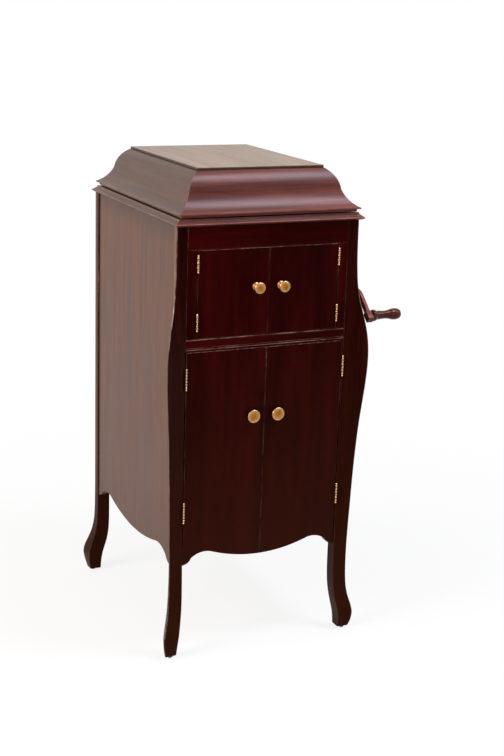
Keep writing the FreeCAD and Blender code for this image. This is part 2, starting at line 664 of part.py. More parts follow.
for level, height, radius, reach in (("upper", s.upper_knob_height, s.upper_knob_radius, s.upper_knob_reach),
                                     ("lower", s.lower_knob_height, s.lower_knob_radius, s.lower_knob_reach)):
    right_knob = knob(level + "_knob", height, radius, reach)
    node(level + "_right_knob", right_knob)
    node(level + "_left_knob", mirror(level + "_knob_left", right_knob))


# Butt hinges with ball-tipped pins, drawn on their own Z axis, the case on +X and the joint on +Y


def hinge_leaf(name, long, moving):
    near, far = s.knuckle_gap / 3, s.knuckle_gap / 3 + s.leaf_thick
    clear = s.barrel_radius + s.knuckle_gap
    x0, x1 = (-far, -near) if moving else (near, far)
    third = long / 6
    slack = s.knuckle_gap / 2
    spans = [(-third + slack, third - slack)] if moving else [(-long / 2, -third - slack),
                                                              (third + slack, long / 2)]
    shapes = [box(name + "_plate", x0, x1, clear, s.leaf_deep, -long / 2, long / 2)]
    for i, (low, high) in enumerate(spans):
        shapes.append(rod("%s_knuckle%d" % (name, i), "z", (0, 0, low), s.barrel_radius, high - low))
        shapes.append(box("%s_tab%d" % (name, i), x0, x1, sized(0), clear + slack, low, high))
    bore = rod(name + "_bore", "z", (0, 0, -long), s.hinge_pin_radius + running, long * 2)
    return cut(name, fuse(name + "_joined", shapes), bore)


def hinge_pin(name, long):
    tip = long / 2 + s.ball_radius + s.knuckle_gap / 3
    shank = rod(name + "_shank", "z", (0, 0, -tip), s.hinge_pin_radius, tip * 2)
    return fuse(name, [shank, ball(name + "_top", (0, 0, tip), s.ball_radius),
                       ball(name + "_foot", (0, 0, -tip), s.ball_radius)])


def hinge(name, long, x, y, z, rotation=None):
    parts = (hinge_leaf(name + "_case_leaf", long, False), hinge_leaf(name + "_door_leaf", long, True),
             hinge_pin(name + "_pin", long))
    for obj in parts:
        place(obj, x, y, z, rotation)
    return parts


case_leaves, pins = [], []
for level, long, axis_x, high, low in (
        ("upper", s.upper_hinge_long, upper_axis, upper_hinge_top, upper_hinge_bottom),
        ("lower", s.lower_hinge_long, lower_axis, lower_hinge_top, lower_hinge_bottom)):
    first = hinge(level + "_hinge", long, axis_x, -hinge_front, high)
    second = [mirror("%s_low%d" % (level, i), obj, (0, 0, 1), (high + low) / 2)
              for i, obj in enumerate(first)]
    case_pair, door_pair, pin_pair = [[a, b] for a, b in zip(first, second)]
    node(level + "_right_door_leaves", group(level + "_right_leaves", door_pair))
    node(level + "_left_door_leaves", group(level + "_left_leaves", [
        mirror("%s_left_leaf%d" % (level, i), obj) for i, obj in enumerate(door_pair)]))
    for i, obj in enumerate(case_pair):
        case_leaves += [obj, mirror("%s_left_case_leaf%d" % (level, i), obj)]
    for i, obj in enumerate(pin_pair):
        pins += [obj, mirror("%s_left_pin%d" % (level, i), obj)]

lid_axis_y = moulding_half_y - s.lid_axis_out
lid_axis_z = moulding_top + s.lid_gap / 2
lid_turn = Rotation(Vector(0, 0, -1), Vector(0, -1, 0), Vector(-1, 0, 0), "XYZ")
lid_hinge = hinge("lid_hinge", s.lid_hinge_long, s.lid_hinge_offset, lid_axis_y, lid_axis_z, lid_turn)
lid_mirrors = [mirror("lid_hinge_left%d" % i, obj) for i, obj in enumerate(lid_hinge)]
case_leaves += [lid_hinge[0], lid_mirrors[0]]
pins += [lid_hinge[2], lid_mirrors[2]]
node("lid_hinge_leaves", group("lid_leaves", [lid_hinge[1], lid_mirrors[1]]))
node("case_hinge_leaves", group("fixed_leaves", case_leaves))
node("hinge_pins", group("all_pins", pins))

# Lid stay: a bar pivoted on the case that stands up under the lid
stay_z = moulding_top - s.stay_pivot_drop
stay_back = moulding_half_y - s.stay_pivot_in
case_inner_x = moulding_half_x - s.moulding_wide
stay_x = -(case_inner_x - s.stay_thick - s.knuckle_gap)
bracket_plate = box("bracket_plate", -case_inner_x, -case_inner_x + s.stay_thick,
                    stay_back - s.stay_wide, stay_back + s.stay_wide,
                    stay_z - s.bracket_half, stay_z + s.bracket_half)
bracket_pin = rod("bracket_pin", "x", (-case_inner_x, stay_back, stay_z), s.stay_pin_radius,
                  s.stay_thick * 2 + s.knuckle_gap * 3)
node("lid_stay_bracket", fuse("stay_bracket", [bracket_plate, bracket_pin]))
half_stay = s.stay_wide / 2
stay_end, stay_round = stay_back - s.stay_long + half_stay, half_stay + s.stay_end_ease
stay_points = [(stay_back, stay_z + half_stay), (stay_end, stay_z + half_stay),
               (stay_end, stay_z - half_stay), (stay_back, stay_z - half_stay)]
stay_arcs = {1: (stay_round, -1), 3: (stay_round, -1)}
node("lid_stay", plate("stay", "side", stay_points, stay_x, s.stay_thick, stay_arcs,
                       [(stay_back, stay_z, s.stay_pin_radius + running)]))

# Crank: offset arm with its grip pin, turned grip, winding shaft and escutcheon
crank_spin = Rotation(Vector(1, 0, 0), s.crank_angle.value)


def at_crank(obj, extra=None):
    return place(obj, 0, -s.crank_front, crank_height, crank_spin * (extra or Rotation()))


bar = s.crank_bar / 2
hub_mid = s.crank_stand + s.crank_hub_long / 2
tip_mid = hub_mid + s.crank_offset
throw = s.crank_throw
first, last, lap = s.crank_first_bend, s.crank_last_bend, s.crank_bend_lap
bar_points = [(hub_mid - bar, sized(0)), (hub_mid + bar, sized(0)), (hub_mid + bar, -first),
              (tip_mid + bar, -last), (tip_mid + bar, -throw), (tip_mid - bar, -throw),
              (tip_mid - bar, -last - lap), (hub_mid - bar, -first - lap)]
bar_body = doc.addObject("PartDesign::Body", "crank_bar_body")
padded(bar_body, "crank_bar_pad", outline(bar_body, "crank_bar_outline", bar_points,
                                          lift=-s.crank_bar_wide / 2), s.crank_bar_wide)
crank_hub = rod("crank_hub", "x", (s.crank_stand, 0, 0), s.crank_hub_radius, s.crank_hub_long)
end_half = s.crank_end_thick / 2
crank_end = box("crank_end", tip_mid - end_half, tip_mid + end_half, -throw - s.crank_end_over,
                -throw + s.crank_end_back, -s.crank_end_wide / 2, s.crank_end_wide / 2)
grip_start = tip_mid + end_half
grip_pin = rod("grip_pin", "x", (grip_start - bar, -throw, 0), s.grip_pin_radius, s.grip_pin_long + bar)
over = s.bore_over
shaft_hole = rod("shaft_hole", "x", (s.crank_stand - over, 0, 0), s.winding_radius,
                 s.crank_hub_long + over * 2)
crank_forging = fuse("crank_forging", [bar_body, crank_hub, crank_end, grip_pin])
crank_arm = cut("crank_arm_bored", crank_forging, shaft_hole)
node("crank_arm", at_crank(crank_arm))

wide, slim, gap = s.grip_bulb_radius, s.grip_waist_radius, s.knuckle_gap
bore_r, grip_l = s.grip_pin_radius + running, s.grip_long
bore_end = s.grip_pin_long + gap
grip_points = [(bore_r, gap), (wide * GRIP_PROFILE[0][0], gap)]
grip_points += [(wide * u if u else slim, grip_l * v) for u, v in GRIP_PROFILE]
grip_points += [(0, grip_l), (0, bore_end), (bore_r, bore_end)]
grip_arcs = {3: (s.grip_collar_curve, 1), 4: (s.grip_waist_curve, 1), 5: (s.grip_bulb_curve, -1),
             6: (s.grip_bulb_curve, -1), 7: (s.grip_end_curve, -1)}
grip = turned("grip", grip_points, (0, 0, 0), "x", grip_arcs)
grip_turn = math.radians(s.crank_angle.value)
place(grip, grip_start, -s.crank_front - throw * math.cos(grip_turn),
      crank_height - throw * math.sin(grip_turn), Rotation(Vector(0, 0, 1), -90))
node("crank_grip", grip)

bush_long = s.panel_thick + s.escutcheon_thick
flange = rod("escutcheon_flange", "x", (panel_out, -s.crank_front, crank_height), s.escutcheon_radius,
             s.escutcheon_thick)
bush = rod("escutcheon_bush", "x", (panel_in, -s.crank_front, crank_height), s.bush_radius, bush_long)
bush_bore = rod("escutcheon_bore", "x", (panel_in - over, -s.crank_front, crank_height),
                s.winding_radius + running, bush_long + over * 2)
node("crank_escutcheon", cut("escutcheon", fuse("escutcheon_blank", [flange, bush]), bush_bore))


# Gears: a root disc with thin straight-flanked teeth set round it


def gear(name, teeth, module, thick, bore=None):
    """A spur gear on its own Z axis, one tooth on local +X."""
    pitch = teeth * module / 2
    root, tip = pitch - module * s.tooth_root, pitch + module * s.tooth_tip
    half = module * (math.pi / 2) * s.tooth_share
    lean = math.tan(math.radians(s.flank_angle.value))
    body = doc.addObject("PartDesign::Body", name)
    disc = body.newObject("Sketcher::SketchObject", name + "_disc")
    disc.AttachmentSupport = (origin_plane(body, "XY_Plane"), [""])
    disc.MapMode = "FlatFace"
    for radius in [root] + ([bore] if bore is not None else []):
        ring = disc.addGeometry(Part.Circle(Vector(0, 0, 0), Vector(0, 0, 1), radius.value))
        disc.addConstraint(Sketcher.Constraint("Coincident", ring, 3, -1, 1))
        number = disc.addConstraint(Sketcher.Constraint("Radius", ring, radius.value))
        disc.setExpression("Constraints[%d]" % number, radius.text)
    padded(body, name + "_blank", disc, thick)
    foot, head = half + module * s.tooth_root * lean, half - module * s.tooth_tip * lean
    sunk = root - s.tooth_sink
    tooth = outline(body, name + "_tooth", [(sunk, -foot), (tip, -head), (tip, head), (sunk, foot)])
    tooth_pad = padded(body, name + "_tooth_pad", tooth, thick)
    doc.recompute()
    ring = body.newObject("PartDesign::PolarPattern", name + "_teeth")
    ring.Originals = [tooth_pad]
    ring.Axis = (tooth, ["N_Axis"])
    ring.Angle = 360
    bind(ring, "Occurrences", teeth)
    body.Tip = ring
    return body


def spun(degrees):
    return Rotation(Vector(0, 0, 1), degrees)


pair_mid = (s.mid_pinion_teeth + s.barrel_teeth) * s.spur_module / 2
pair_spindle = (s.mid_wheel_teeth + s.spindle_pinion_teeth) * s.spur_module / 2
pair_governor = (s.spindle_wheel_teeth + s.governor_teeth) * s.spur_module / 2
spread = s.barrel_spread
barrel_back = s.crank_front - s.spindle_front
barrel_x = (spread * spread - barrel_back * barrel_back).root()
along = (pair_spindle * pair_spindle - pair_mid * pair_mid + spread * spread) / (spread * 2)
across = (pair_spindle * pair_spindle - along * along).root()
mid_x = (along * barrel_x + across * barrel_back) / spread
mid_y = -s.spindle_front + (across * barrel_x - along * barrel_back) / spread
spindle_at = (sized(0), -s.spindle_front)
barrel_at = (barrel_x, -s.crank_front)
mid_at = (mid_x, mid_y)
governor_at = (-pair_governor, -s.spindle_front)


def heading(a, b):
    return math.degrees(math.atan2(b[1].value - a[1].value, b[0].value - a[0].value))


def half_pitch(teeth):
    return 180.0 / teeth.value


def set_gear(obj, at, z, degrees):
    return place(obj, at[0], at[1], z, spun(degrees))


plate_low = plate_bottom - s.plate_thick
arbor_long = plate_top + s.plate_thick - plate_low
bottom_gear = plate_bottom + s.plate_thick * 0.8
pinion_lap = (s.pinion_thick - s.gear_thick) / 2
to_mid, to_barrel = heading(spindle_at, mid_at), heading(mid_at, barrel_at)

spindle_pinion = set_gear(gear("spindle_pinion", s.spindle_pinion_teeth, s.spur_module, s.pinion_thick),
                          spindle_at, bottom_gear - pinion_lap, to_mid)
spindle_wheel_z = (drum_low + drum_top) / 2
spindle_wheel = set_gear(gear("spindle_wheel", s.spindle_wheel_teeth, s.spur_module, s.gear_thick),
                         spindle_at, spindle_wheel_z, 180)
shoulder = platter_base - s.platter_skin / 2
spindle_body = rod("spindle_body", "z", (*spindle_at, plate_low), s.spindle_radius, shoulder - plate_low)
spindle_seat = rod("spindle_seat", "z", (*spindle_at, shoulder), s.spindle_seat_radius, felt_top - shoulder)
spindle_tip = rod("spindle_tip", "z", (*spindle_at, felt_top), s.spindle_tip_radius, spindle_top - felt_top)
spindle_parts = [spindle_body, spindle_seat, spindle_tip, spindle_pinion, spindle_wheel]
node("spindle", fuse("spindle_turned", spindle_parts))

mid_wheel = set_gear(gear("mid_wheel", s.mid_wheel_teeth, s.spur_module, s.gear_thick), mid_at, bottom_gear,
                     to_mid + 180 + half_pitch(s.mid_wheel_teeth))
mid_pinion = set_gear(gear("mid_pinion", s.mid_pinion_teeth, s.spur_module, s.pinion_thick), mid_at,
                      drum_top - pinion_lap, to_barrel)
mid_arbor = rod("mid_arbor", "z", (*mid_at, plate_low), s.thin_arbor_radius, arbor_long)
node("intermediate_wheel", fuse("mid_train", [mid_arbor, mid_wheel, mid_pinion]))

barrel_ring = gear("barrel_gear", s.barrel_teeth, s.spur_module, s.gear_thick, s.arbor_radius + running)
barrel_gear = set_gear(barrel_ring, barrel_at, drum_top, to_barrel + 180 + half_pitch(s.barrel_teeth))
drum_in = s.drum_radius - s.drum_wall
drum = turned("drum", [(drum_in, drum_low), (s.drum_radius, drum_low), (s.drum_radius, drum_top),
                       (drum_in, drum_top)], (*barrel_at, 0), "z")
node("spring_barrel", fuse("barrel_body", [drum, barrel_gear]))

governor_gear = gear("governor_pinion", s.governor_teeth, s.spur_module, s.pinion_thick)
governor_pinion = set_gear(governor_gear, governor_at, spindle_wheel_z - pinion_lap,
                           half_pitch(s.governor_teeth))
collar_z, disc_z = plate_bottom + s.governor_collar_up, drum_low + s.governor_disc_up
governor_parts = [
    governor_pinion, rod("governor_arbor", "z", (*governor_at, plate_low), s.thin_arbor_radius, arbor_long),
    rod("governor_collar", "z", (*governor_at, collar_z), s.governor_radius, s.governor_collar_thick),
    rod("governor_disc", "z", (*governor_at, disc_z), s.governor_radius + s.governor_disc_over,
        s.governor_disc_thick)]
leaf_low, leaf_high = collar_z + s.governor_leaf_sink, disc_z + s.governor_disc_thick - s.governor_leaf_sink
weight_z = (drum_low + plate_bottom) / 2 + s.governor_weight_up
for number in range(3):
    turn = math.radians(120 * number + 90)
    leaf_x = governor_at[0] + (s.governor_radius - s.governor_leaf_in) * math.cos(turn)
    leaf_y = governor_at[1] + (s.governor_radius - s.governor_leaf_in) * math.sin(turn)
    governor_parts.append(rod("governor_leaf%d" % number, "z", (leaf_x, leaf_y, leaf_low),
                              s.governor_leaf_radius, leaf_high - leaf_low))
    governor_parts.append(ball("governor_weight%d" % number, (leaf_x, leaf_y, weight_z), s.weight_radius))
node("governor", fuse("governor_body", governor_parts))

crank_pitch = s.crank_pinion_teeth * s.crown_module / 2
crown_pitch = s.crown_teeth * s.crown_module / 2
crown_z = crank_height + crank_pitch
crown_r = crown_pitch + s.crown_face / 2
crown_body = doc.addObject("PartDesign::Body", "crown_wheel")
crown_half = s.crown_module * (math.pi / 2) * s.tooth_share
crown_in, crown_deep = crown_pitch - s.crown_face / 2, s.crown_module * s.crown_tooth_deep
crown_corners = [(crown_in, -crown_half), (crown_r, -crown_half), (crown_r, crown_half),
                 (crown_in, crown_half)]
crown_tooth = outline(crown_body, "crown_tooth", crown_corners, lift=-crown_deep)
crown_rim = crown_body.newObject("Sketcher::SketchObject", "crown_rim")
crown_rim.AttachmentSupport = (origin_plane(crown_body, "XY_Plane"), [""])
crown_rim.MapMode = "FlatFace"
rim_ring = crown_rim.addGeometry(Part.Circle(Vector(0, 0, 0), Vector(0, 0, 1), crown_r.value))
crown_rim.addConstraint(Sketcher.Constraint("Coincident", rim_ring, 3, -1, 1))
rim_number = crown_rim.addConstraint(Sketcher.Constraint("Radius", rim_ring, crown_r.value))
crown_rim.setExpression("Constraints[%d]" % rim_number, crown_r.text)
padded(crown_body, "crown_rim_pad", crown_rim, s.crown_thick)
crown_tooth_pad = padded(crown_body, "crown_tooth_pad", crown_tooth, crown_deep + s.crown_sink)
doc.recompute()
crown_ring = crown_body.newObject("PartDesign::PolarPattern", "crown_teeth_ring")
crown_ring.Originals = [crown_tooth_pad]
crown_ring.Axis = (crown_tooth, ["N_Axis"])
crown_ring.Angle = 360
bind(crown_ring, "Occurrences", s.crown_teeth)
crown_body.Tip = crown_ring
set_gear(crown_body, barrel_at, crown_z + s.crown_module * s.tooth_root, half_pitch(s.crown_teeth))
arbor = rod("arbor", "z", (*barrel_at, plate_low), s.arbor_radius, arbor_long)
node("barrel_arbor", fuse("winding_arbor", [arbor, crown_body]))

crank_pinion = gear("crank_pinion", s.crank_pinion_teeth, s.crown_module, s.crown_face)
pinion_start = barrel_x + crown_pitch - s.crown_face / 2
place(crank_pinion, pinion_start, -s.crank_front, crank_height, Rotation(Vector(0, 1, 0), 90) * spun(180))
shaft_step = pinion_start + s.crown_face + s.shaft_neck_long
shaft = rod("shaft", "x", (pinion_start, -s.crank_front, crank_height), s.shaft_neck_radius,
            shaft_step + s.shaft_lap - pinion_start)
shaft_out = rod("shaft_out", "x", (shaft_step, -s.crank_front, crank_height), s.winding_radius,
                s.crank_stand + s.crank_hub_long - shaft_step)
node("winding_shaft", fuse("winding", [crank_pinion, shaft, shaft_out]))


# Mainspring: one strip wound in half turns about two centres


def mainspring_shape():
    step, thick = s.spring_pitch.value / 2, s.spring_thick.value
    outermost = drum_in.value - s.spring_clear.value
    outer, inner, turn = [], [], 0
    radius = s.spring_inner.value
    while radius + step + thick < outermost:
        side = 1 if turn % 2 == 0 else -1
        centre = Vector(0 if side > 0 else step, 0, 0)
        for edges, r in ((inner, radius), (outer, radius + thick)):
            ends = [centre + Vector(r * way, 0, 0) for way in (side, -side)]
            edges.append(Part.Arc(ends[0], centre + Vector(0, r * side, 0), ends[1]).toShape())
        turn += 1
        radius += step
    caps = [Part.LineSegment(inner[end].Vertexes[end].Point, outer[end].Vertexes[end].Point).toShape()
            for end in (0, -1)]
    wire = Part.Wire(Part.__sortEdges__(inner + outer + caps))
    high = drum_top.value - drum_low.value - s.spring_gap.value
    print("mainspring half turns", turn, "gap between turns", round(step * 2 - thick, 3))
    return Part.Face(wire).extrude(Vector(0, 0, high))


mainspring = doc.addObject("Part::Feature", "mainspring_strip")
mainspring.Shape = mainspring_shape()
node("mainspring", place(mainspring, *barrel_at, drum_low + s.spring_gap))

# Motor frame: two plates on four pillars under the motor board
plate_points = [(-s.plate_left, -s.plate_front), (s.plate_right, -s.plate_front),
                (s.plate_right, -s.plate_rear), (-s.plate_left, -s.plate_rear)]
pillar_spots = [(u + (s.pillar_inset if i in (0, 3) else -s.pillar_inset),
                 v + (s.pillar_inset if i < 2 else -s.pillar_inset)) for i, (u, v) in enumerate(plate_points)]
plate_holes = [(u, v, s.pillar_radius) for u, v in pillar_spots]
plate_holes += [(*spindle_at, s.spindle_radius + running), (*barrel_at, s.arbor_radius + running),
                (*mid_at, s.thin_arbor_radius + running), (*governor_at, s.thin_arbor_radius + running)]
node("motor_top_plate", plate("motor_top", "top", plate_points, plate_top, s.plate_thick,
                              holes=plate_holes))
node("motor_bottom_plate", plate("motor_bottom", "top", plate_points, plate_low, s.plate_thick,
                                 holes=plate_holes))
pillars = []
for number, (u, v) in enumerate(pillar_spots):
    points = [(0, -s.nut_high), (s.nut_radius, -s.nut_high), (s.nut_radius, sized(0)),
              (s.pillar_radius, sized(0)), (s.pillar_radius, board_low - plate_low),
              (0, board_low - plate_low)]
    pillars.append(turned("pillar%d" % number, points, (u, v, plate_low), "z"))
node("motor_pillars", group("pillars", pillars))

# Turntable, its felt, and the small fittings of the motor board
hub_r = s.spindle_radius * 2.4
platter_points = [(s.spindle_seat_radius, shoulder), (hub_r, shoulder),
                  (hub_r, platter_top - s.platter_skin),
                  (s.platter_radius - s.platter_skin, platter_top - s.platter_skin),
                  (s.platter_radius - s.platter_skin, platter_base), (s.platter_radius, platter_base),
                  (s.platter_radius, platter_top), (s.spindle_seat_radius, platter_top)]
node("turntable", turned("platter", platter_points, (*spindle_at, 0), "z"))
felt_r = s.platter_radius - s.platter_skin / 2
node("turntable_felt", turned("felt", [(s.spindle_seat_radius, platter_top), (felt_r, platter_top),
                                       (felt_r, felt_top), (s.spindle_seat_radius, felt_top)],
                              (*spindle_at, 0), "z"))


def needle_cup(name, x):
    r, wall, rim = s.cup_radius, s.cup_wall, s.cup_radius + s.cup_flange
    deep, lip = s.cup_deep, s.cup_lip
    points = [(0, -deep), (r, -deep), (r, sized(0)), (rim, sized(0)), (rim, lip), (r - wall, lip),
              (r - wall, -deep + wall), (0, -deep + wall)]
    return turned(name, points, (x, -s.cup_front, board_top), "z")


right_cup = needle_cup("cup", s.cup_side)
node("needle_cups", group("cups", [right_cup, mirror("left_cup", right_cup)]))


def lever(name, x, turn, shapes):
    """A small lever on a pin in the motor board."""
    pin, hub_radius, seat = s.lever_pin_radius, s.lever_hub_radius, s.knuckle_gap
    points = [(0, -s.lever_pin_deep), (pin, -s.lever_pin_deep), (pin, seat), (hub_radius, seat),
              (hub_radius, s.lever_hub_height), (s.lever_cap_radius, s.lever_cap_height),
              (0, s.lever_cap_height)]
    hub = turned(name + "_hub", points, (0, 0, 0), "z")
    return place(fuse(name, [hub] + shapes), x, -s.lever_front, board_top, spun(turn.value))


bar_low, bar_high = s.lever_bar_low, s.lever_bar_low + s.lever_bar_thick
brake_half, shoe_half = s.brake_bar_half, s.brake_shoe_half
brake_shapes = [box("brake_bar", -s.brake_handle, s.brake_arm + shoe_half, -brake_half, brake_half,
                    bar_low, bar_high),
                box("brake_shoe", s.brake_arm - shoe_half, s.brake_arm + shoe_half,
                    -brake_half, s.brake_reach, bar_low, platter_top - board_top - s.brake_clear)]
node("brake_lever", lever("brake", s.lever_side, s.brake_angle, brake_shapes))
speed_shapes = [box("speed_bar", 0, s.speed_arm, -s.speed_bar_half, s.speed_bar_half, bar_low, bar_high),
                rod("speed_knob", "z", (s.speed_arm, 0, bar_low), s.speed_knob_radius, s.speed_knob_height)]
node("speed_lever", lever("speed", -s.lever_side, s.speed_angle, speed_shapes))

# Sound path: tone arm, its base on the board, elbow below it and horn to the front
base_points = [(s.arm_stub_radius + s.arm_bore_gap, sized(0)), (s.flange_radius, sized(0)),
               (s.flange_radius, s.flange_thick), (s.sleeve_radius, s.flange_thick + s.base_fillet),
               (s.sleeve_radius, s.sleeve_high), (s.arm_stub_radius + s.arm_bore_gap, s.sleeve_high)]
node("tonearm_base", turned("arm_base", base_points, (0, s.arm_back, board_top), "z"))

arm_spin = spun(-s.arm_angle.value)
to_right = Rotation(Vector(0, 1, 0), 90)
arm_up = Rotation(Vector(-1, 0, 0), Vector(0, 0, 1), Vector(0, 1, 0), "XYZ")
bend_low = arm_height - s.arm_bend


def arm_solid(name, low, radius, tip):
    stub = rod(name + "_stub", "z", (0, 0, low), radius, bend_low - low)
    knee = bend(name + "_bend", (s.arm_bend, 0, bend_low), s.arm_bend, radius, arm_up)
    tube = cone(name + "_tube", (s.arm_bend, 0, arm_height), radius, tip, s.arm_long - s.arm_bend, to_right)
    return fuse(name, [stub, knee, tube])


arm_low = board_top + s.arm_clear
sleeve_top = board_top + s.sleeve_high + s.knuckle_gap
arm_outer = arm_solid("arm_outer", arm_low, s.arm_stub_radius, s.arm_tip_radius)
arm_collar = rod("arm_collar", "z", (0, 0, sleeve_top), s.sleeve_radius, s.arm_collar_thick)
arm_inner = arm_solid("arm_inner", arm_low, s.arm_stub_radius - s.arm_wall, s.neck_radius - s.arm_wall)
socket = rod("arm_socket", "x", (s.arm_long - s.neck_stub, 0, arm_height), s.neck_radius + running,
             s.neck_stub)
arm = cut("arm", fuse("arm_blank", [arm_outer, arm_collar]), fuse("arm_void", [arm_inner, socket]))
node("tonearm", place(arm, 0, s.arm_back, 0, arm_spin))

neck_start = s.arm_long - s.neck_stub + s.knuckle_gap
neck_turn = s.arm_long + s.neck_run
neck_down = Rotation(Vector(0, 1, 0), Vector(1, 0, 0), Vector(0, 0, -1), "XYZ")
box_back = -s.neck_bend - s.neck_drop


def neck_solid(name, radius):
    run = rod(name + "_run", "x", (neck_start, 0, arm_height), radius, neck_turn - neck_start)
    knee = bend(name + "_bend", (neck_turn, -s.neck_bend, arm_height), s.neck_bend, radius, neck_down)
    drop = rod(name + "_drop", "y", (neck_turn + s.neck_bend, box_back, arm_height), radius, s.neck_drop)
    return fuse(name, [run, knee, drop])


neck_collar = rod("neck_collar", "x", (s.arm_long + s.knuckle_gap, 0, arm_height), s.arm_tip_radius,
                  s.neck_collar_thick)
neck = cut("neck", fuse("neck_blank", [neck_solid("neck_outer", s.neck_radius), neck_collar]),
           neck_solid("neck_inner", s.neck_radius - s.arm_wall))
node("gooseneck", place(neck, 0, s.arm_back, 0, arm_spin))

box_r, box_t = s.sound_box_radius, s.sound_box_thick
box_points = [(0, 0)] + [(box_r * u, box_t * v) for u, v in SOUND_BOX_PROFILE]
box_points += [(0, box_t * SOUND_BOX_PROFILE[-1][1])]
box_middle = neck_turn + s.neck_bend
shell = turned("sound_shell", box_points, (box_middle, box_back, arm_height), "front")
bar_y = box_back - box_t
half, front = s.stylus_half, bar_y - s.stylus_thick
stylus = box("stylus_bar", box_middle - half, box_middle + half, front, bar_y,
             arm_height - box_r - s.stylus_drop, arm_height)
stylus_foot = box("stylus_foot", box_middle - half, box_middle + half, front,
                  bar_y + box_t * SOUND_BOX_PROFILE[1][1], arm_height - half, arm_height + half)
needle = rod("needle", "z", (box_middle, bar_y - s.needle_in, needle_tip), s.needle_radius,
             arm_height - box_r - needle_tip)
sound_box = fuse("sound_box_body", [shell, stylus, stylus_foot, needle])
node("sound_box", place(sound_box, 0, s.arm_back, 0, arm_spin))

elbow_in = Rotation(Vector(0, 1, 0), Vector(0, 0, -1), Vector(-1, 0, 0), "XYZ")
elbow_z = board_low - s.elbow_drop
horn_back = s.arm_back - s.elbow_bend
horn_mid_z = elbow_z - s.elbow_bend


def elbow_solid(name, radius):
    down = rod(name + "_down", "z", (0, s.arm_back, elbow_z), radius, s.elbow_drop)
    knee = bend(name + "_bend", (0, horn_back, elbow_z), s.elbow_bend, radius, elbow_in)
    return fuse(name, [down, knee])


top_flange = rod("elbow_top_flange", "z", (0, s.arm_back, board_low - s.flange_thick), s.flange_radius,
                 s.flange_thick)
half_throat = s.horn_throat_half
horn_start = horn_back - s.flange_thick
horn_flange = box("elbow_horn_flange", -half_throat, half_throat, horn_start, horn_back,
                  horn_mid_z - half_throat, horn_mid_z + half_throat)
flange_bore = rod("elbow_flange_bore", "y", (0, horn_start - over, horn_mid_z), s.throat_radius,
                  s.flange_thick + over)
elbow_outer = elbow_solid("elbow_outer", s.throat_radius + s.throat_wall)
elbow = cut("elbow", fuse("elbow_blank", [elbow_outer, top_flange, horn_flange]),
            fuse("elbow_void", [elbow_solid("elbow_inner", s.throat_radius), flange_bore]))
node("horn_elbow", elbow)

# Horn: a wooden box that widens towards the doors
horn_body = doc.addObject("PartDesign::Body", "horn_body")
horn_cuts = [(-horn_start, half_throat, horn_mid_z - half_throat, horn_mid_z + half_throat),
             (s.horn_middle, s.horn_middle_half, shelf_top, horn_roof),
             (s.horn_front, s.horn_front_half, shelf_top, horn_roof),
             (front_in, s.horn_mouth_half, shelf_top, horn_mouth_top)]
for kind, wall in (("AdditiveLoft", sized(0)), ("SubtractiveLoft", s.horn_wall)):
    rims = []
    for number, (away, half, low, high) in enumerate(horn_cuts):
        corners = [(-half + wall, low + wall), (half - wall, low + wall), (half - wall, high - wall),
                   (-half + wall, high - wall)]
        rims.append(outline(horn_body, "horn_%s%d" % (kind, number), corners, lift=away))
    lofted(horn_body, "horn_" + kind, rims, True, "PartDesign::" + kind)
    doc.recompute()
place(horn_body, 0, 0, 0, FACING["front"])
node("horn", horn_body)

# Check every object and write one file for each piece
doc.recompute()
bad = [obj.Name for obj in doc.Objects if "Invalid" in obj.State or "Error" in obj.State]
if bad:
    raise RuntimeError("objects in error: " + ", ".join(bad))
os.makedirs("parts", exist_ok=True)
for name, obj in nodes.items():
    shape = obj.Shape
    if shape.isNull() or not shape.isValid() or not shape.Solids:
        raise RuntimeError("bad shape: " + name)
    shape.exportStep("parts/%s.step" % name)
print("pieces", len(nodes), "solids", sum(len(obj.Shape.Solids) for obj in nodes.values()))
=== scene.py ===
# %% [markdown]
# # A wind-up cabinet phonograph, dressed for its portrait
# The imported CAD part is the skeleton: every piece below is drawn in its frame and rides on one of its
# bodies. Flat inner boards and the motor keep their CAD shape and get a finish; what the eye rests on
# is drawn again as a numpy surface with soft edges.

# %% Load the frame and keep its box
import math

import bmesh
import bpy
import numpy as np
from mathutils import Matrix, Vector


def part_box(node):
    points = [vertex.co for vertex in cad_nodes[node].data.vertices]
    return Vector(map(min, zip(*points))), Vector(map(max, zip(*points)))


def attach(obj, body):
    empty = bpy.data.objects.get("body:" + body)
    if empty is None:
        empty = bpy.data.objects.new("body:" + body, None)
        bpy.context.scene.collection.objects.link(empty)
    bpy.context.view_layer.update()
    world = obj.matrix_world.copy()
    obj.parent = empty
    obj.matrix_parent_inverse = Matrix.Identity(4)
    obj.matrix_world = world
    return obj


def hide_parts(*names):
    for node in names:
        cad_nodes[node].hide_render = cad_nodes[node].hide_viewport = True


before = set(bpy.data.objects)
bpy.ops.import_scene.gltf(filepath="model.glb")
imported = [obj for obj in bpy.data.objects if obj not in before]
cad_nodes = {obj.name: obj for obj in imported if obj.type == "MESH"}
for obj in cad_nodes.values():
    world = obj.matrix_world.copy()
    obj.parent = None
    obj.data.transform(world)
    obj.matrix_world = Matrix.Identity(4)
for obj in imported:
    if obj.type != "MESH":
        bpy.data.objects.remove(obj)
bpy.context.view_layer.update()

# %% [markdown]
# ## Surfaces as grids
# A turned knob, a swelling leg and a length of moulding are all grids of points with quads between the
# rows. One function skins a grid, and each shape only works out where its points lie. A shell is a
# skinned grid: its points, its faces and the marks that each point carries for the finishes, in
# millimetres; the marks are use on ridges and edges, and in some places painted light or shade.

# %% Grids, arcs and eased corners
MM = 0.001


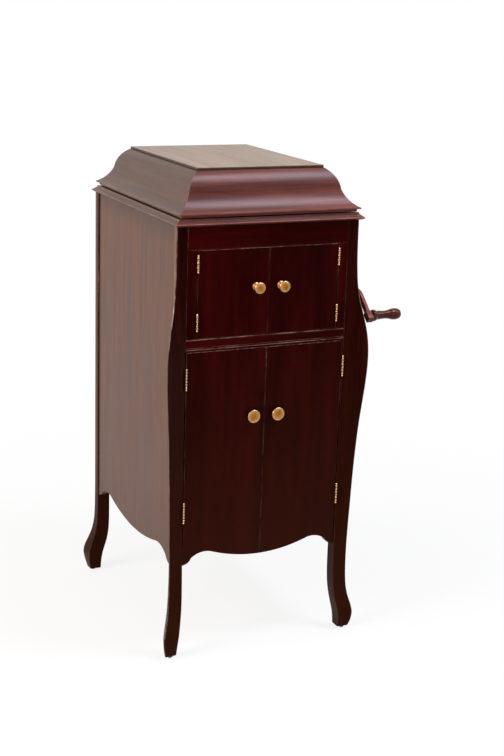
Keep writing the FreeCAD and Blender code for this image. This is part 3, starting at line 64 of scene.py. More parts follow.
def skin(grid, wear_and_painted_light=0.0, loop_rows=False):
    """Skins a grid (rows, columns, 3): quads join each row to the next, and columns close on themselves.

    loop_rows also joins the last row to the first; otherwise a face closes each end row.
    """
    size = grid.shape[:2]
    here = np.arange(size[0] * size[1]).reshape(size)
    there, ends = np.roll(here, -1, 0), []
    if not loop_rows:
        ends = [here[0][::-1].tolist(), here[-1].tolist()]
        here, there = here[:-1], there[:-1]
    quads = np.stack([here, np.roll(here, -1, 1), np.roll(there, -1, 1), there], -1).reshape(-1, 4)
    return grid.reshape(-1, 3), quads.tolist() + ends, np.broadcast_to(wear_and_painted_light, size).reshape(-1)


def eased(corners, radius, steps=4, closed=True):
    """Rounds each corner P to (1-t)^2 A + 2t(1-t) P + t^2 B, with A and B `radius` before and after it."""
    most_share = 0.45
    corners = np.asarray(corners, float)
    radius = np.broadcast_to(radius, corners.shape[:-1])[..., None]
    ends = []
    for way in (1, -1):
        side = np.roll(corners, way, -2) - corners
        size = np.maximum(np.linalg.norm(side, axis=-1, keepdims=True), 1e-9)
        ends.append(corners + side * np.minimum(radius / size, most_share))
    t = np.linspace(0, 1, steps + 1)[:, None]
    start, middle, end = ends[0][..., None, :], corners[..., None, :], ends[1][..., None, :]
    curve = (1 - t) ** 2 * start + 2 * t * (1 - t) * middle + t ** 2 * end
    points = curve.reshape(corners.shape[:-2] + (-1, corners.shape[-1]))
    if closed:
        return points
    inside = points[steps + 1:-(steps + 1)]
    return np.vstack([corners[:1], inside, corners[-1:]])


def arc(start, end, radius, side, steps=10):
    """Points on a circle of that radius from start to end, bowed to the left (1) or right (-1) of the way."""
    start, end = np.array([start, end], float)
    chord = end - start
    long = np.hypot(*chord)
    along, left = chord / long, np.array([-chord[1], chord[0]]) / long
    half = math.asin(long / 2 / radius)
    t = np.linspace(-half, half, steps + 1)[:, None]
    bow = side * radius * (np.cos(t) - math.cos(half))
    return (start + end) / 2 + radius * np.sin(t) * along + bow * left


def through(height, rows):
    """Smooth curve through table rows: between rows i and i+1 a cubic whose slopes are the rows' own."""
    rows = np.asarray(rows, float)
    rows = rows[np.argsort(rows[:, 0])]
    x, y = rows[:, 0], rows[:, 1:]
    slope = np.gradient(y, x, axis=0)
    i = np.clip(np.searchsorted(x, height) - 1, 0, len(x) - 2)
    span = (x[i + 1] - x[i])[:, None]
    t = (height - x[i])[:, None] / span
    return ((2 * t ** 3 - 3 * t ** 2 + 1) * y[i] + (t ** 3 - 2 * t ** 2 + t) * span * slope[i]
            + (3 * t ** 2 - 2 * t ** 3) * y[i + 1] + (t ** 3 - t ** 2) * span * slope[i + 1])


def lathe(profile, centre=(0, 0, 0), along="z", turns=64, ring=False, ease=None, steps=3, wear_and_painted_light=0.0):
    """Turns a profile of (radius, height) about an axis: each point goes round as (r cos a, r sin a).

    ring closes the profile on itself, as a tube's is, and ease rounds its corners first.
    """
    least_radius = 0.05
    profile = np.asarray(profile, float) if ease is None else eased(profile, ease, steps, ring)
    radius, height = np.maximum(profile[:, :1], least_radius), profile[:, 1:]
    angle = np.arange(turns) * 2 * np.pi / turns
    u, v, w = radius * np.cos(angle), radius * np.sin(angle), height + 0 * angle
    spot = {"z": (u, v, w), "x": (w, u, v), "front": (u, -w, v)}[along]
    point_marks = np.broadcast_to(wear_and_painted_light, len(profile))[:, None]
    return skin(np.stack(spot, -1) + centre, point_marks, ring)


def pipe(path, section, normal):
    """Carries a section along a flat path: point = path + u * normal + v * (tangent x normal)."""
    tangent = np.gradient(path, axis=0)
    tangent /= np.linalg.norm(tangent, axis=1, keepdims=True)
    across = np.cross(tangent, normal)
    if section.ndim == 2:
        section = np.broadcast_to(section, (len(path),) + section.shape)
    return skin(path[:, None] + section[..., :1] * normal + section[..., 1:] * across[:, None])


def circle(radius, sides=40):
    """A round section, or a row of them when radius is a row of radii."""
    angle = np.arange(sides) * 2 * np.pi / sides
    return np.asarray(radius, float)[..., None, None] * np.stack([np.cos(angle), np.sin(angle)], -1)


def bell(x, centre, spread):
    """exp(-((x - centre) / spread)^2), for marks that gather round one place."""
    return np.exp(-((x - centre) / spread) ** 2)


def moved(shell, turn=np.eye(3), shift=(0, 0, 0)):
    """Turns a shell by a 3 x 3 matrix, then shifts it."""
    points, faces, point_marks = shell
    return points @ turn.T + shift, faces, point_marks


def with_marks(shell, point_marks):
    """The same shell with other marks for the finishes."""
    return shell[0], shell[1], point_marks


def four(u0, u1, v0, v1):
    """The corners of a rectangle, anticlockwise."""
    return np.array([(u0, v0), (u1, v0), (u1, v1), (u0, v1)])


def turn_about(axis, degrees):
    """Rotation matrix about a main axis."""
    return np.array(Matrix.Rotation(math.radians(degrees), 3, axis))


FLIP_X, FLIP_Y, FLIP_Z = np.diag([-1.0, 1, 1]), np.diag([1.0, -1, 1]), np.diag([1.0, 1, -1])
SIDES = (("right", np.eye(3)), ("left", FLIP_X))
print("grid helpers ready")

# %% [markdown]
# ## From shells to a piece
# Several closed shells can make one piece, as the four mitred lengths of a moulding do. The mesh
# carries two attributes that the finishes read. The first is 1 on the ridges where hands and dusters
# take off the polish, and it also carries painted light: a painted highlight down the leg arrises and
# on the hinge beads and balls, and painted shade round the edge of the lid top. The second is 1 where
# a sheen is painted on the outward faces of the legs. Normals are made to point outwards, the end
# faces of a plank stay flat, and edges sharper than a set angle stay crisp.

# %% Make a piece
scene, made = bpy.context.scene, []


def placed(name, data):
    """A new object in the scene."""
    thing = bpy.data.objects.new(name, data)
    scene.collection.objects.link(thing)
    return thing


def piece(name, shells, body, finish, stands_for=None, crisp=38.0):
    """Joins shells into one mesh at the origin, gives it a finish and hangs it on a CAD body."""
    points, skins, mark_sets = zip(*shells)
    starts = np.cumsum([0] + [len(spots) for spots in points])
    faces = [[start + corner for corner in face] for start, sheet in zip(starts, skins) for face in sheet]
    mesh = bpy.data.meshes.new(name)
    mesh.from_pydata((np.vstack(points) * MM).tolist(), [], faces)
    mark_columns = np.vstack([w if w.ndim == 2 else np.stack([w, 0 * w], -1) for w in mark_sets])
    for column, word in enumerate(("wear_and_painted_light", "painted_sheen")):
        values = np.ascontiguousarray(mark_columns[:, column], np.float32)
        mesh.attributes.new(word, "FLOAT", "POINT").data.foreach_set("value", values)
    shape = bmesh.new()
    shape.from_mesh(mesh)
    bmesh.ops.recalc_face_normals(shape, faces=shape.faces)
    shape.to_mesh(mesh)
    shape.free()
    mesh.shade_smooth()
    corners = np.zeros(len(mesh.polygons), np.int32)
    mesh.polygons.foreach_get("loop_total", corners)
    mesh.polygons.foreach_set("use_smooth", corners <= 4)
    mesh.set_sharp_from_angle(angle=math.radians(crisp))
    mesh.materials.append(finish)
    thing = placed(name, mesh)
    broad = thing.modifiers.new("broad_faces_lead", "WEIGHTED_NORMAL")
    broad.keep_sharp = True
    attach(thing, body)
    if stands_for:
        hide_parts(stands_for)
    made.append(name)


print("piece maker ready")

# %% [markdown]
# ## Finishes
# Colours are written as the hex values an eye would pick, and one function turns them to linear. One
# more adds a shader node with its settings, values and links. The nodes that every finish uses have
# short names of their own.

# %% Colour and node helpers


def linear(text):
    """sRGB hex to linear RGBA: c / 12.92 in the dark part, ((c + 0.055) / 1.055) ^ 2.4 above it."""
    c = np.array([int(text[i:i + 2], 16) for i in (1, 3, 5)]) / 255
    c = np.where(c <= 0.04045, c / 12.92, ((c + 0.055) / 1.055) ** 2.4)
    return (*c.tolist(), 1.0)


def feed(tree, node, sockets):
    """Sets inputs of a node, each to a value or by a link from another node's output."""
    for key, value in sockets.items():
        if isinstance(value, bpy.types.NodeSocket):
            tree.links.new(value, node.inputs[key])
        else:
            node.inputs[key].default_value = value


def add_node(tree, kind, sockets=None, stops=None, **settings):
    """Adds a node with its settings and inputs; stops fills a colour ramp."""
    new = tree.nodes.new(kind)
    for key, value in settings.items():
        setattr(new, key, value)
    feed(tree, new, sockets or {})
    if stops:
        ramp = new.color_ramp.elements
        while len(ramp) < len(stops):
            ramp.new(0.5)
        for element, (spot, colour) in zip(ramp, stops):
            element.position = spot
            element.color = linear(colour)
    return new


def noise(tree, vector, scale, detail, rough=0.5, twist=0.0):
    """Noise on a vector; scale is 1000 / millimetres on Object coordinates and 1 on stretched ones."""
    sockets = {"Vector": vector, "Scale": scale, "Detail": detail, "Roughness": rough, "Distortion": twist}
    return add_node(tree, "ShaderNodeTexNoise", sockets).outputs[0]


def remap(tree, value, low, high, at_low, at_high):
    """Carries low..high to at_low..at_high and holds the ends."""
    return add_node(tree, "ShaderNodeMapRange", {0: value, 1: low, 2: high, 3: at_low, 4: at_high}).outputs[0]


def maths(tree, operation, first, second, clamp=False):
    """One sum on two numbers."""
    return add_node(tree, "ShaderNodeMath", {0: first, 1: second}, operation=operation,
                    use_clamp=clamp).outputs[0]


def mixed(tree, share, first, second, blend="MIX"):
    """Mixes two colours, each a hex text or another node's output."""
    first, second = [linear(colour) if isinstance(colour, str) else colour for colour in (first, second)]
    return add_node(tree, "ShaderNodeMix", {0: share, 6: first, 7: second}, data_type="RGBA",
                    blend_type=blend).outputs[2]


def attribute(tree, word):
    """A value that the mesh carries point by point."""
    return add_node(tree, "ShaderNodeAttribute", attribute_name=word).outputs["Fac"]


def bare_tree(owner):
    """The emptied node tree of a material or a world."""
    owner.use_nodes = True
    owner.node_tree.nodes.clear()
    return owner.node_tree


def new_finish(name):
    """An empty material with its output, its surface shader and the Object coordinates."""
    finish = bpy.data.materials.new(name)
    tree = bare_tree(finish)
    shader = add_node(tree, "ShaderNodeBsdfPrincipled")
    add_node(tree, "ShaderNodeOutputMaterial", {"Surface": shader.outputs[0]})
    return finish, tree, shader, add_node(tree, "ShaderNodeTexCoord").outputs["Object"]


print("colour and node helpers ready")

# %% [markdown]
# ## Shellacked mahogany
# Real mahogany has long ribbon streaks, short dark pores and, under a hundred years of shellac, an
# almost black red. The streaks are noise stretched along the grain, so the same recipe serves boards
# that run up, across or back; only the stretched axis changes. The polish mirrors little when seen
# square on and a lot at a slant, which is why the side and the top of the case look grey and the
# doors look dark; on the outward faces of the legs that sheen is also painted into the colour. The
# first mesh attribute brings out unpolished red-brown wood along the edges that see use; the same
# attribute lays a painted highlight down the leg arrises and painted shade round the edge of the lid top.

# %% Wood
PORE_MM, MOTTLE_MM, CHIP_MM = 1.6, 60, 13


def wood(name, grain, colours, streak_mm, rough, polish, wear_and_light_colour, tint="#ffffff", mark_most=0.75,
         zones=(), painted_sheen_colour=None, mark_least=0.1, cloud=0.2):
    """Streaks and pores stretched along the grain axis (0 X, 1 Y, 2 Z), under shellac of index `polish`.

    zones darken or tint it by height, as (metres with none, metres with most, most, colour). The sheen
    colour, if given, is a painted sheen laid where the mesh's sheen attribute is 1. Edges that see use
    show the edge colour, by the least to the most share; the same mix paints the highlight on the leg
    arrises and the shade line round the lid top. cloud is the drift of tone.
    """
    finish, tree, shader, spot = new_finish(name)

    def streaks(across_mm, times, **look):
        scale = [1000 / across_mm] * 3
        scale[grain] /= times
        drawn_out = add_node(tree, "ShaderNodeMapping", {"Vector": spot, "Scale": scale})
        return noise(tree, drawn_out.outputs[0], 1.0, **look)

    ribbon = streaks(streak_mm, 26, detail=5.0, rough=0.58, twist=0.5)
    stops = list(zip((0.28, 0.5, 0.72), colours.split()))
    base = add_node(tree, "ShaderNodeValToRGB", {"Fac": ribbon}, stops=stops)
    # pores are about 0.3 mm wide; they are drawn at 1.6 mm so that the picture can show them
    pores = remap(tree, streaks(PORE_MM, 20, detail=2.0), 0.56, 0.72, 1.0, 0.62)
    mottle = streaks(MOTTLE_MM, 6, detail=4.0, rough=0.6)
    gain = maths(tree, "MULTIPLY", pores, remap(tree, mottle, 0.3, 0.7, 1 - cloud, 1 + cloud))
    tone = mixed(tree, 1.0, base.outputs[0], gain, "MULTIPLY")
    for none_at, most_at, most, zone_colour in zones:
        height = add_node(tree, "ShaderNodeSeparateXYZ", {0: spot}).outputs[2]
        tone = mixed(tree, remap(tree, height, none_at, most_at, 0.0, most), tone, zone_colour)
    if painted_sheen_colour:
        tone = mixed(tree, attribute(tree, "painted_sheen"), tone, painted_sheen_colour)
    chips = streaks(CHIP_MM, 3, detail=4.0, rough=0.7)
    edge_mark = maths(tree, "MULTIPLY", attribute(tree, "wear_and_painted_light"),
                 remap(tree, chips, 0.42, 0.66, mark_least, mark_most), clamp=True)
    bump = add_node(tree, "ShaderNodeBump", {"Strength": 0.12, "Distance": 0.0004, "Height": pores})
    feed(tree, shader, {
        "Base Color": mixed(tree, edge_mark, tone, wear_and_light_colour), "Normal": bump.outputs[0], "IOR": polish,
        "Roughness": remap(tree, mottle, 0.3, 0.7, rough - 0.03, rough + 0.05),
        "Specular Tint": linear(tint)})
    return finish


X, Y, Z = 0, 1, 2
# the pale edge colour is chips on the leg arrises and also a painted highlight along them; the dark rim
# colour is painted shade round the edge of the lid top
WORN_RED, PALE_WEAR_AND_HIGHLIGHT, WORN_FRONT, PAINTED_SHADE_RIM = "#9c5a4a", "#cfb4a2", "#b48c7c", "#24120b"
# doors, rails and legs: nearly black red, browner near the floor
FRONT_SHINE, FRONT_LOW = "#a04c3a", [(0.75, 0.0, 0.7, "#33190d")]
ACROSS = wood("shellacked_mahogany_across", X, "#2c0303 #340404 #3d0505", 14, 0.30, 1.18,
              WORN_FRONT, FRONT_SHINE, zones=FRONT_LOW, cloud=0.4)
UPRIGHT = wood("shellacked_mahogany_upright", Z, "#240202 #2a0303 #310404", 14, 0.30, 1.18,
               WORN_FRONT, FRONT_SHINE, zones=FRONT_LOW, cloud=0.55)
# legs: a lighter colour is painted on their outward faces, a painted sheen for the polish's reflection of the
# lamps
LEG_UPRIGHT = wood("shellacked_mahogany_leg", Z, "#1b0503 #240704 #2f0b06", 12, 0.30, 1.10,
                   PALE_WEAR_AND_HIGHLIGHT, FRONT_SHINE, mark_most=0.9, zones=FRONT_LOW, painted_sheen_colour="#6a5246")
# the lid is faded red in front and brown at its sides, the side panels brown, the lid top bleached
LID_ACROSS = wood("faded_mahogany_across", X, "#3c130b #592820 #733b33", 14, 0.34, 1.45,
                  WORN_RED, "#bab6bc")
LID_DEEP = wood("faded_mahogany_deep", Y, "#38241b #463025 #543c2f", 14, 0.34, 1.45,
                WORN_RED, "#b4a89c")
# side panels: dust and painted shade under the case moulding, and darker again towards the scallop
SIDE_UPRIGHT = wood("faded_mahogany_side", Z, "#43251a #4e2d1d #5a3525", 12, 0.38, 1.45,
                    WORN_RED, "#b8a289",
                    zones=[(0.925, 0.968, 0.6, "#24130b"), (0.38, 0.22, 0.4, "#3a1e0a")])
# the lid top: its edge colour is laid almost evenly, painted shade round the board's edge
TOP_DEEP = wood("bleached_mahogany_top", Y, "#725c4b #826b5a #917b69", 16, 0.40, 1.45,
                PAINTED_SHADE_RIM, "#ccc0b4", mark_most=0.95, mark_least=0.85)
# the deck is rubbed by hands, the inner boards are plain birch, the horn is varnished, the grip polished
DECK_WOOD = wood("rubbed_mahogany_deck", X, "#3a150d #54231a #6b3424", 12, 0.36, 1.42, WORN_RED)
BIRCH = [wood("stained_birch_" + word, axis, "#4c2f1c #66442a #7d5636", 16, 0.62, 1.40, "#8a6644")
         for axis, word in enumerate(("across", "deep", "upright"))]
HORN_WOOD = wood("varnished_poplar_horn", Y, "#3b2112 #573319 #6b4324", 14, 0.42, 1.42, "#7d5636")
GRIP_WOOD = wood("polished_grip_wood", X, "#2c0d08 #47180f #5a2417", 6, 0.12, 1.42,
                 "#6b3020", "#d0a8a0")
print("woods", len(bpy.data.materials))

# %% [markdown]
# ## Metals, felt, mica and rubber
# The brass is lacquered and a century old: gold where it is rubbed, brown in patches. Nickel plate
# is warmer than chrome. Motor parts are bare turned steel and black japanned iron, the crank is
# forged iron gone brown. One noise lays patches on each metal and one lays fine scratches. Mica and
# rubber take the same recipe without the metal.

# %% Metal and felt


def metal(name, colour, patch, rough, patch_mm, scratch_mm, metallic=1.0, rub_and_light="#ffffff", most=0.0):
    """A metal, or a plain coat when metallic is 0, with patches of a second colour and fine scratches."""
    finish, tree, shader, spot = new_finish(name)
    blotch = noise(tree, spot, 1000 / patch_mm, detail=4.0, rough=0.62)
    tone = mixed(tree, remap(tree, blotch, 0.45, 0.68, 0.0, 1.0), colour, patch)
    scratch = noise(tree, spot, 1000 / scratch_mm, detail=3.0, rough=0.7)
    bump = add_node(tree, "ShaderNodeBump", {"Strength": 0.15, "Distance": 0.00012, "Height": scratch})
    rub_and_glint = maths(tree, "MULTIPLY", attribute(tree, "wear_and_painted_light"), most)
    feed(tree, shader, {
        "Base Color": mixed(tree, rub_and_glint, tone, rub_and_light), "Normal": bump.outputs[0], "Metallic": metallic,
        "Roughness": remap(tree, blotch, 0.3, 0.7, rough - 0.06, rough + 0.12)})
    return finish


# the pale brass colour is brass polished where hands touch, and on the hinge beads and balls a painted
# highlight as well
BRASS = metal("lacquered_brass", "#a86c1e", "#784816", 0.32, 7, 1.2, rub_and_light="#f6e2b4", most=0.6)
NICKEL = metal("nickel_plate", "#cdc6ba", "#a79c8b", 0.20, 18, 1.5, rub_and_light="#e8e2d6", most=0.4)
STEEL = metal("turned_steel", "#9b9a98", "#75716b", 0.30, 12, 0.9)
SPRING_STEEL = metal("blued_spring_steel", "#4d5566", "#3a3a40", 0.28, 10, 0.8)
JAPANNED = metal("japanned_iron", "#121110", "#1d1a17", 0.24, 14, 2.0, 0.0, "#3c352e", 0.5)
BROWN_IRON = metal("browned_forged_iron", "#5c261a", "#3e1a12", 0.44, 9, 1.6, 0.6, "#7e4431", 0.6)
RUBBER = metal("aged_black_rubber", "#1b1a18", "#2a2825", 0.62, 5, 1.0, 0.0)
MICA = metal("clear_mica", "#cfc3a4", "#b7a581", 0.12, 9, 2.4, 0.0)
# fibres of wool are far finer; they are drawn at 1.8 mm so that the picture can show them
FIBRE_MM, NAP_MM = 1.8, 45


def wool_felt(name, colour, pale):
    """Pressed wool: short twisted fibres on a nap that lies in broad patches, matt, with a soft sheen."""
    finish, tree, shader, spot = new_finish(name)
    fibres = noise(tree, spot, 1000 / FIBRE_MM, detail=5.0, rough=0.75, twist=1.5)
    nap = remap(tree, noise(tree, spot, 1000 / NAP_MM, detail=3.0), 0.3, 0.7, 0.85, 1.1)
    tone = add_node(tree, "ShaderNodeValToRGB", {"Fac": maths(tree, "MULTIPLY", fibres, nap)},
                    stops=[(0.3, colour), (0.7, pale)])
    bump = add_node(tree, "ShaderNodeBump", {"Strength": 0.5, "Distance": 0.0006, "Height": fibres})
    feed(tree, shader, {"Base Color": tone.outputs[0], "Normal": bump.outputs[0],
                        "Roughness": 0.95, "Sheen Weight": 0.2})
    return finish


FELT = wool_felt("green_wool_felt", "#152c19", "#335838")
print("finishes", len(bpy.data.materials))

# %% [markdown]
# ## Legs
# Each leg is one sawn post. The front pair has a kite-shaped section whose outer corner swells at the
# knee and again at the toe; the rear pair only kicks out at the toe. Tables give the outward moves at a
# few heights, and a smooth curve fills in between.

# %% Legs
POST_OUT, LEG_IN, REAR_LEG_IN = 215.5, 190.2, 184.5
FRONT, FRONT_IN, LEG_BACK, POST_IN, REAR, REAR_IN = 256.3, 228.5, 231.3, 243.8, 263.5, 239.3
CASE_TOP, TOE_TOP, LEG_BASE = 971.5, 205.0, 4.0
# the knee is where the arris chips most and where a painted highlight runs along it; the toe is scuffed
KNEE_RUB_AND_HIGHLIGHT, TOE_RUB = (765, 55), (35, 40)
# above the toe only the outer corner swells: height, corner outward
FRONT_KNEE = [
    (971.5, 0), (905, 0.6), (860, 2), (825, 4.4), (790, 9.3), (755, 17), (720, 23.3), (685, 26.6),
    (650, 27.1), (608, 25.3), (560, 21.8), (505, 17.6), (440, 14.2), (370, 11.6), (315, 10.2)]
REAR_POST = [(971.5, 0), (600, 0), (300, 0), (205, 0)]
# at the toe: height, corner outward, inner-face edge outward, inner corner outward, side edge outward
FRONT_TOE = [
    (260, 8.7, 2.5, 0, 0), (205, 7.8, 5, 0, 0), (165, 7.8, 6.4, 0, 0.5), (130, 8.7, 8, 0.6, 2),
    (104, 10.5, 9.8, 2, 4.2), (80, 14.8, 13, 4.8, 8), (59, 20.6, 17.4, 8.4, 12.2),
    (42, 23.4, 19.8, 11.4, 14.8), (27, 22.4, 19, 13.2, 14.2), (14, 19.6, 16.8, 13.9, 12.4),
    (4, 16.4, 14.4, 14.2, 10.4)]
REAR_TOE = [
    (165, 0.6, 0.5, 0, 0.5), (135, 2.4, 2, 0.4, 2), (109, 6.8, 5.6, 1.8, 5.6), (85, 13.8, 11.4, 5, 11.4),
    (64, 20.4, 17, 9.4, 17), (48, 23, 19.2, 12.6, 19.2), (33, 21.4, 18, 14.6, 18), (18, 18, 15.6, 15.8, 15.6),
    (4, 14.2, 13, 16.4, 13)]


def leg(post, toe, wide_in, depth_in, depth_side, depth_out, sheen_share):
    """Section at each height: four corners that move outward by the tables, each corner eased.

    The last six numbers are the painted sheen at the points round the side face and the outer corner.
    """
    height = np.concatenate([np.linspace(CASE_TOP, TOE_TOP + 5, 90),
                             np.linspace(TOE_TOP, LEG_BASE + 2.2, 60), [LEG_BASE + 1.1, LEG_BASE]])
    swell, edge, inner, side = through(height, [row + (0, 0, 0) for row in post] + toe).T
    for outward, tuck in ((swell, -1), (edge, -1), (inner, 1), (side, -1)):
        outward[-2:] += tuck * np.array([0.5, 2.0])
    corners = np.array([
        (wide_in + inner, depth_in + inner), (POST_OUT + side, depth_side + inner),
        (POST_OUT + swell, depth_out + swell), (wide_in + inner, depth_out + edge)])
    section = eased(corners.transpose(2, 0, 1), np.array([1.2, 1.6, 3.2, 1.6]))
    grid = np.stack(np.broadcast_arrays(section[..., 0], section[..., 1], height[:, None]), -1)
    ridge = np.tile([0, 0.6, 1, 0.6, 0], 4) * np.repeat([0, 0.3, 1, 0.1], 5)
    # painted sheen, on the side face and the outer corner above the foot
    sheen_points = np.concatenate([np.zeros(8), sheen_share, np.zeros(6)])
    above_foot = np.clip((height - 200) / 120, 0, 1)
    # chips along the arris and a painted highlight line: a little all the way down, most at the knee
    rub_and_light = 0.3 + 1.1 * bell(height, *KNEE_RUB_AND_HIGHLIGHT) + 0.5 * bell(height, *TOE_RUB)
    mark_columns = [np.clip(rub_and_light[:, None] * ridge, 0, 1), above_foot[:, None] * sheen_points]
    return with_marks(skin(grid), np.stack(mark_columns, -1).reshape(-1, 2))


front_leg = leg(FRONT_KNEE, FRONT_TOE, LEG_IN, LEG_BACK, POST_IN, FRONT, (0.6, 1, 1, 0.7, 0.2, 0))
front_leg = moved(front_leg, FLIP_Y)
rear_leg = leg(REAR_POST, REAR_TOE, REAR_LEG_IN, REAR_IN, REAR_IN, REAR, (0, 0, 0.9, 1, 0.8, 0.5))
for where, shell in (("front", front_leg), ("rear", rear_leg)):
    for side, flip in SIDES:
        piece(f"leg_{where}_{side}", [moved(shell, flip)], "cabinet", LEG_UPRIGHT,
              f"{where}_{side}_leg", crisp=50)
GLIDE_X, GLIDE_FRONT, GLIDE_REAR = 218, -265.5, 265.92
glide = [(0.1, 0), (3.7, 0), (6.1, 2.6), (6.5, 3.2), (6.5, 4)]
glides = [lathe(glide, (x, y, 0), turns=28) for x in (-GLIDE_X, GLIDE_X) for y in (GLIDE_FRONT, GLIDE_REAR)]
piece("foot_glide_domes", glides, "cabinet", STEEL, "foot_glides")
print("legs", made)

# %% [markdown]
# ## Boards with a softened edge
# Doors, rails and side panels are planks whose arrises were rubbed down with sandpaper. A plank is
# its outline drawn several times: pulled in a little at the face, out to the full size one edge
# radius deeper, and in again at the back. That is a grid as well, closed by its two faces.

# %% Boards
MID_RAIL_LOW, MID_RAIL_TOP, TOP_RAIL_LOW = 701.0, 729.0, 921.0
STILE_IN, PANEL_OUT, PANEL_THICK = 168.2, 212.8, 12.0
SCALLOP_END, LOBE_TOP, ARCH_TOP, BELLY_LOW = 213.5, 228.0, 236.0, 216.5


def board(outline, low, high, facing, edge=1.1, steps=4, rub_and_light=1.0):
    """Rows of one outline, pulled in by edge * (1 - sin a) while the depth runs edge * (1 - cos a).

    The last argument gives how much the arris shows use, for the whole outline or point by point.
    """
    normal = []
    for d in (np.roll(outline, -1, 0) - outline, outline - np.roll(outline, 1, 0)):
        normal.append(np.stack([d[:, 1], -d[:, 0]], -1) / np.linalg.norm(d, axis=1, keepdims=True))
    mitre = (normal[0] + normal[1]) / (1 + np.sum(normal[0] * normal[1], 1, keepdims=True))
    x, y = outline.T
    mitre *= np.sign(np.sum(x * np.roll(y, -1) - np.roll(x, -1) * y))
    a = np.linspace(0, np.pi / 2, steps + 1)
    sink = edge * (1 - np.cos(a))
    a = np.concatenate([a, a[::-1]])[:, None]
    u, v = [line - edge * (1 - np.sin(a)) * pull for line, pull in zip(outline.T, mitre.T)]
    deep = np.concatenate([low + sink, high - sink[::-1]])[:, None] + 0 * u
    spot = {"front": (u, deep, v), "side": (deep, u, v), "top": (u, v, deep)}[facing]
    return skin(np.stack(spot, -1), wear_and_painted_light=np.sin(2 * a) * np.broadcast_to(rub_and_light, len(outline)))


def oblong(u0, u1, v0, v1):
    """A rectangle with a few points along each side."""
    corners = four(u0, u1, v0, v1)
    t = np.array([0, 0.02, 0.5, 0.98])[:, None]
    return (corners[:, None] + t * (np.roll(corners, -1, 0) - corners)[:, None]).reshape(-1, 2)


def front_board(node, edge, rub_and_light=1.0):
    """A softened plank of the size and place of a CAD node that faces the front or the back."""
    low, high = [np.array(corner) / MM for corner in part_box(node)]
    return board(oblong(low[X], high[X], low[Z], high[Z]), low[Y], high[Y], "front", edge, rub_and_light=rub_and_light)


def scallop(half, cut=None):
    """Lower edge from its end to the middle: a small lobe, an arch and a long belly, three arcs in turn.

    An arc of chord c and rise b has the radius (c^2 / 4 + b^2) / (2 b). cut starts the lobe further in.
    """
    end, knee, drop = (half, SCALLOP_END), (half * 0.88, LOBE_TOP), (half * 0.60, ARCH_TOP)

    def radius(a, b, rise):
        return (math.dist(a, b) ** 2 / 4 + rise ** 2) / (2 * rise)

    first = end if cut is None else (cut, SCALLOP_END)
    belly = radius(drop, (-drop[0], drop[1]), ARCH_TOP - BELLY_LOW)
    return np.vstack([arc(first, knee, radius(end, knee, 4.5), 1)[:-1],
                      arc(knee, drop, radius(knee, drop, 7.5), -1, 12)[:-1],
                      arc(drop, (0, BELLY_LOW), belly, 1, 18)])


def side_outline():
    """A side panel seen from the side: the scallop from front to back, then the top edge."""
    half, middle = (REAR_IN + POST_IN) / 2, (REAR_IN - POST_IN) / 2
    edge = scallop(half)
    top = np.linspace([REAR_IN, CASE_TOP], [-POST_IN, CASE_TOP], 5)
    return np.vstack([edge[:-1] * [-1, 1] + [middle, 0], edge[::-1] + [middle, 0], top])


piece("side_panel_left", [board(side_outline(), -PANEL_OUT, -PANEL_OUT + PANEL_THICK, "side", 1.0)],
      "cabinet", SIDE_UPRIGHT, "left_side_panel")
piece("back_board", [front_board("back_panel", 0.8)], "cabinet", BIRCH[Z], "back_panel")
piece("rail_top", [front_board("top_rail", 0.9, 0.5)], "cabinet", ACROSS, "top_rail")
stiles = [board(oblong(a, b, MID_RAIL_TOP, TOP_RAIL_LOW), -FRONT, -FRONT_IN, "front", 0.9, rub_and_light=0.3)
          for a, b in ((STILE_IN, LEG_IN), (-LEG_IN, -STILE_IN))]
piece("stiles_beside_doors", stiles, "cabinet", UPRIGHT, "upper_stiles")
print("boards", made[-4:])

# %% [markdown]
# ## Middle rail
# The rail between the doors has a thumb edge above and a fine bead below, which the light picks out as
# three thin lines. Its section is drawn once and carried straight across.

# %% Middle rail
RAIL_EASE, RAIL_DEEP = 0.4, FRONT - FRONT_IN
# depth behind the front, height, how worn
rail_table = np.array([
    (2.4, 729, 0), (0.9, 728.2, 1), (0.2, 726.9, 0.6), (0, 725.6, 0), (0, 710.2, 0), (0.2, 709.2, 0.9),
    (1.5, 708.4, 0), (1.5, 706.4, 0), (0.3, 705.4, 0.9), (0, 704.6, 0), (0, 702.6, 0), (1.6, 701, 0.1),
    (RAIL_DEEP, MID_RAIL_LOW, 0), (RAIL_DEEP, MID_RAIL_TOP, 0)])
rail_section = rail_table[:, :2] - [FRONT, 0]
rail_x = np.array([-LEG_IN, RAIL_EASE - LEG_IN, 0, LEG_IN - RAIL_EASE, LEG_IN])
rail_pull = np.array([RAIL_EASE, 0, 0, 0, RAIL_EASE]) / ((MID_RAIL_TOP - MID_RAIL_LOW) / 2)
rail_centre = rail_section.mean(0)
rail_rows = rail_centre + (rail_section - rail_centre) * (1 - rail_pull[:, None, None])
rail_grid = np.stack(np.broadcast_arrays(rail_x[:, None], rail_rows[..., 0], rail_rows[..., 1]), -1)
piece("rail_middle", [skin(rail_grid, wear_and_painted_light=rail_table[:, 2])], "cabinet", ACROSS, "middle_rail",
      crisp=30)
print("middle rail", len(rail_section), "points in its section")

# %% [markdown]
# ## Doors
# Upper doors are plain planks; the lower ones carry the scallop across their bottom edges, so that
# the two together make the belly under the cabinet.

# %% Doors
DOOR_THICK, DOOR_GAP, HINGE_GAP, MEET = 18.0, 0.8, 2.0, 0.5


def door(outline):
    """A plank of the given outline, showing use along its top edge and little elsewhere."""
    rub_and_light = np.where(outline[:, 1] > outline[:, 1].max() - 1, 0.9, 0.25)
    return board(outline, -FRONT, -FRONT + DOOR_THICK, "front", 1.0, rub_and_light=rub_and_light)


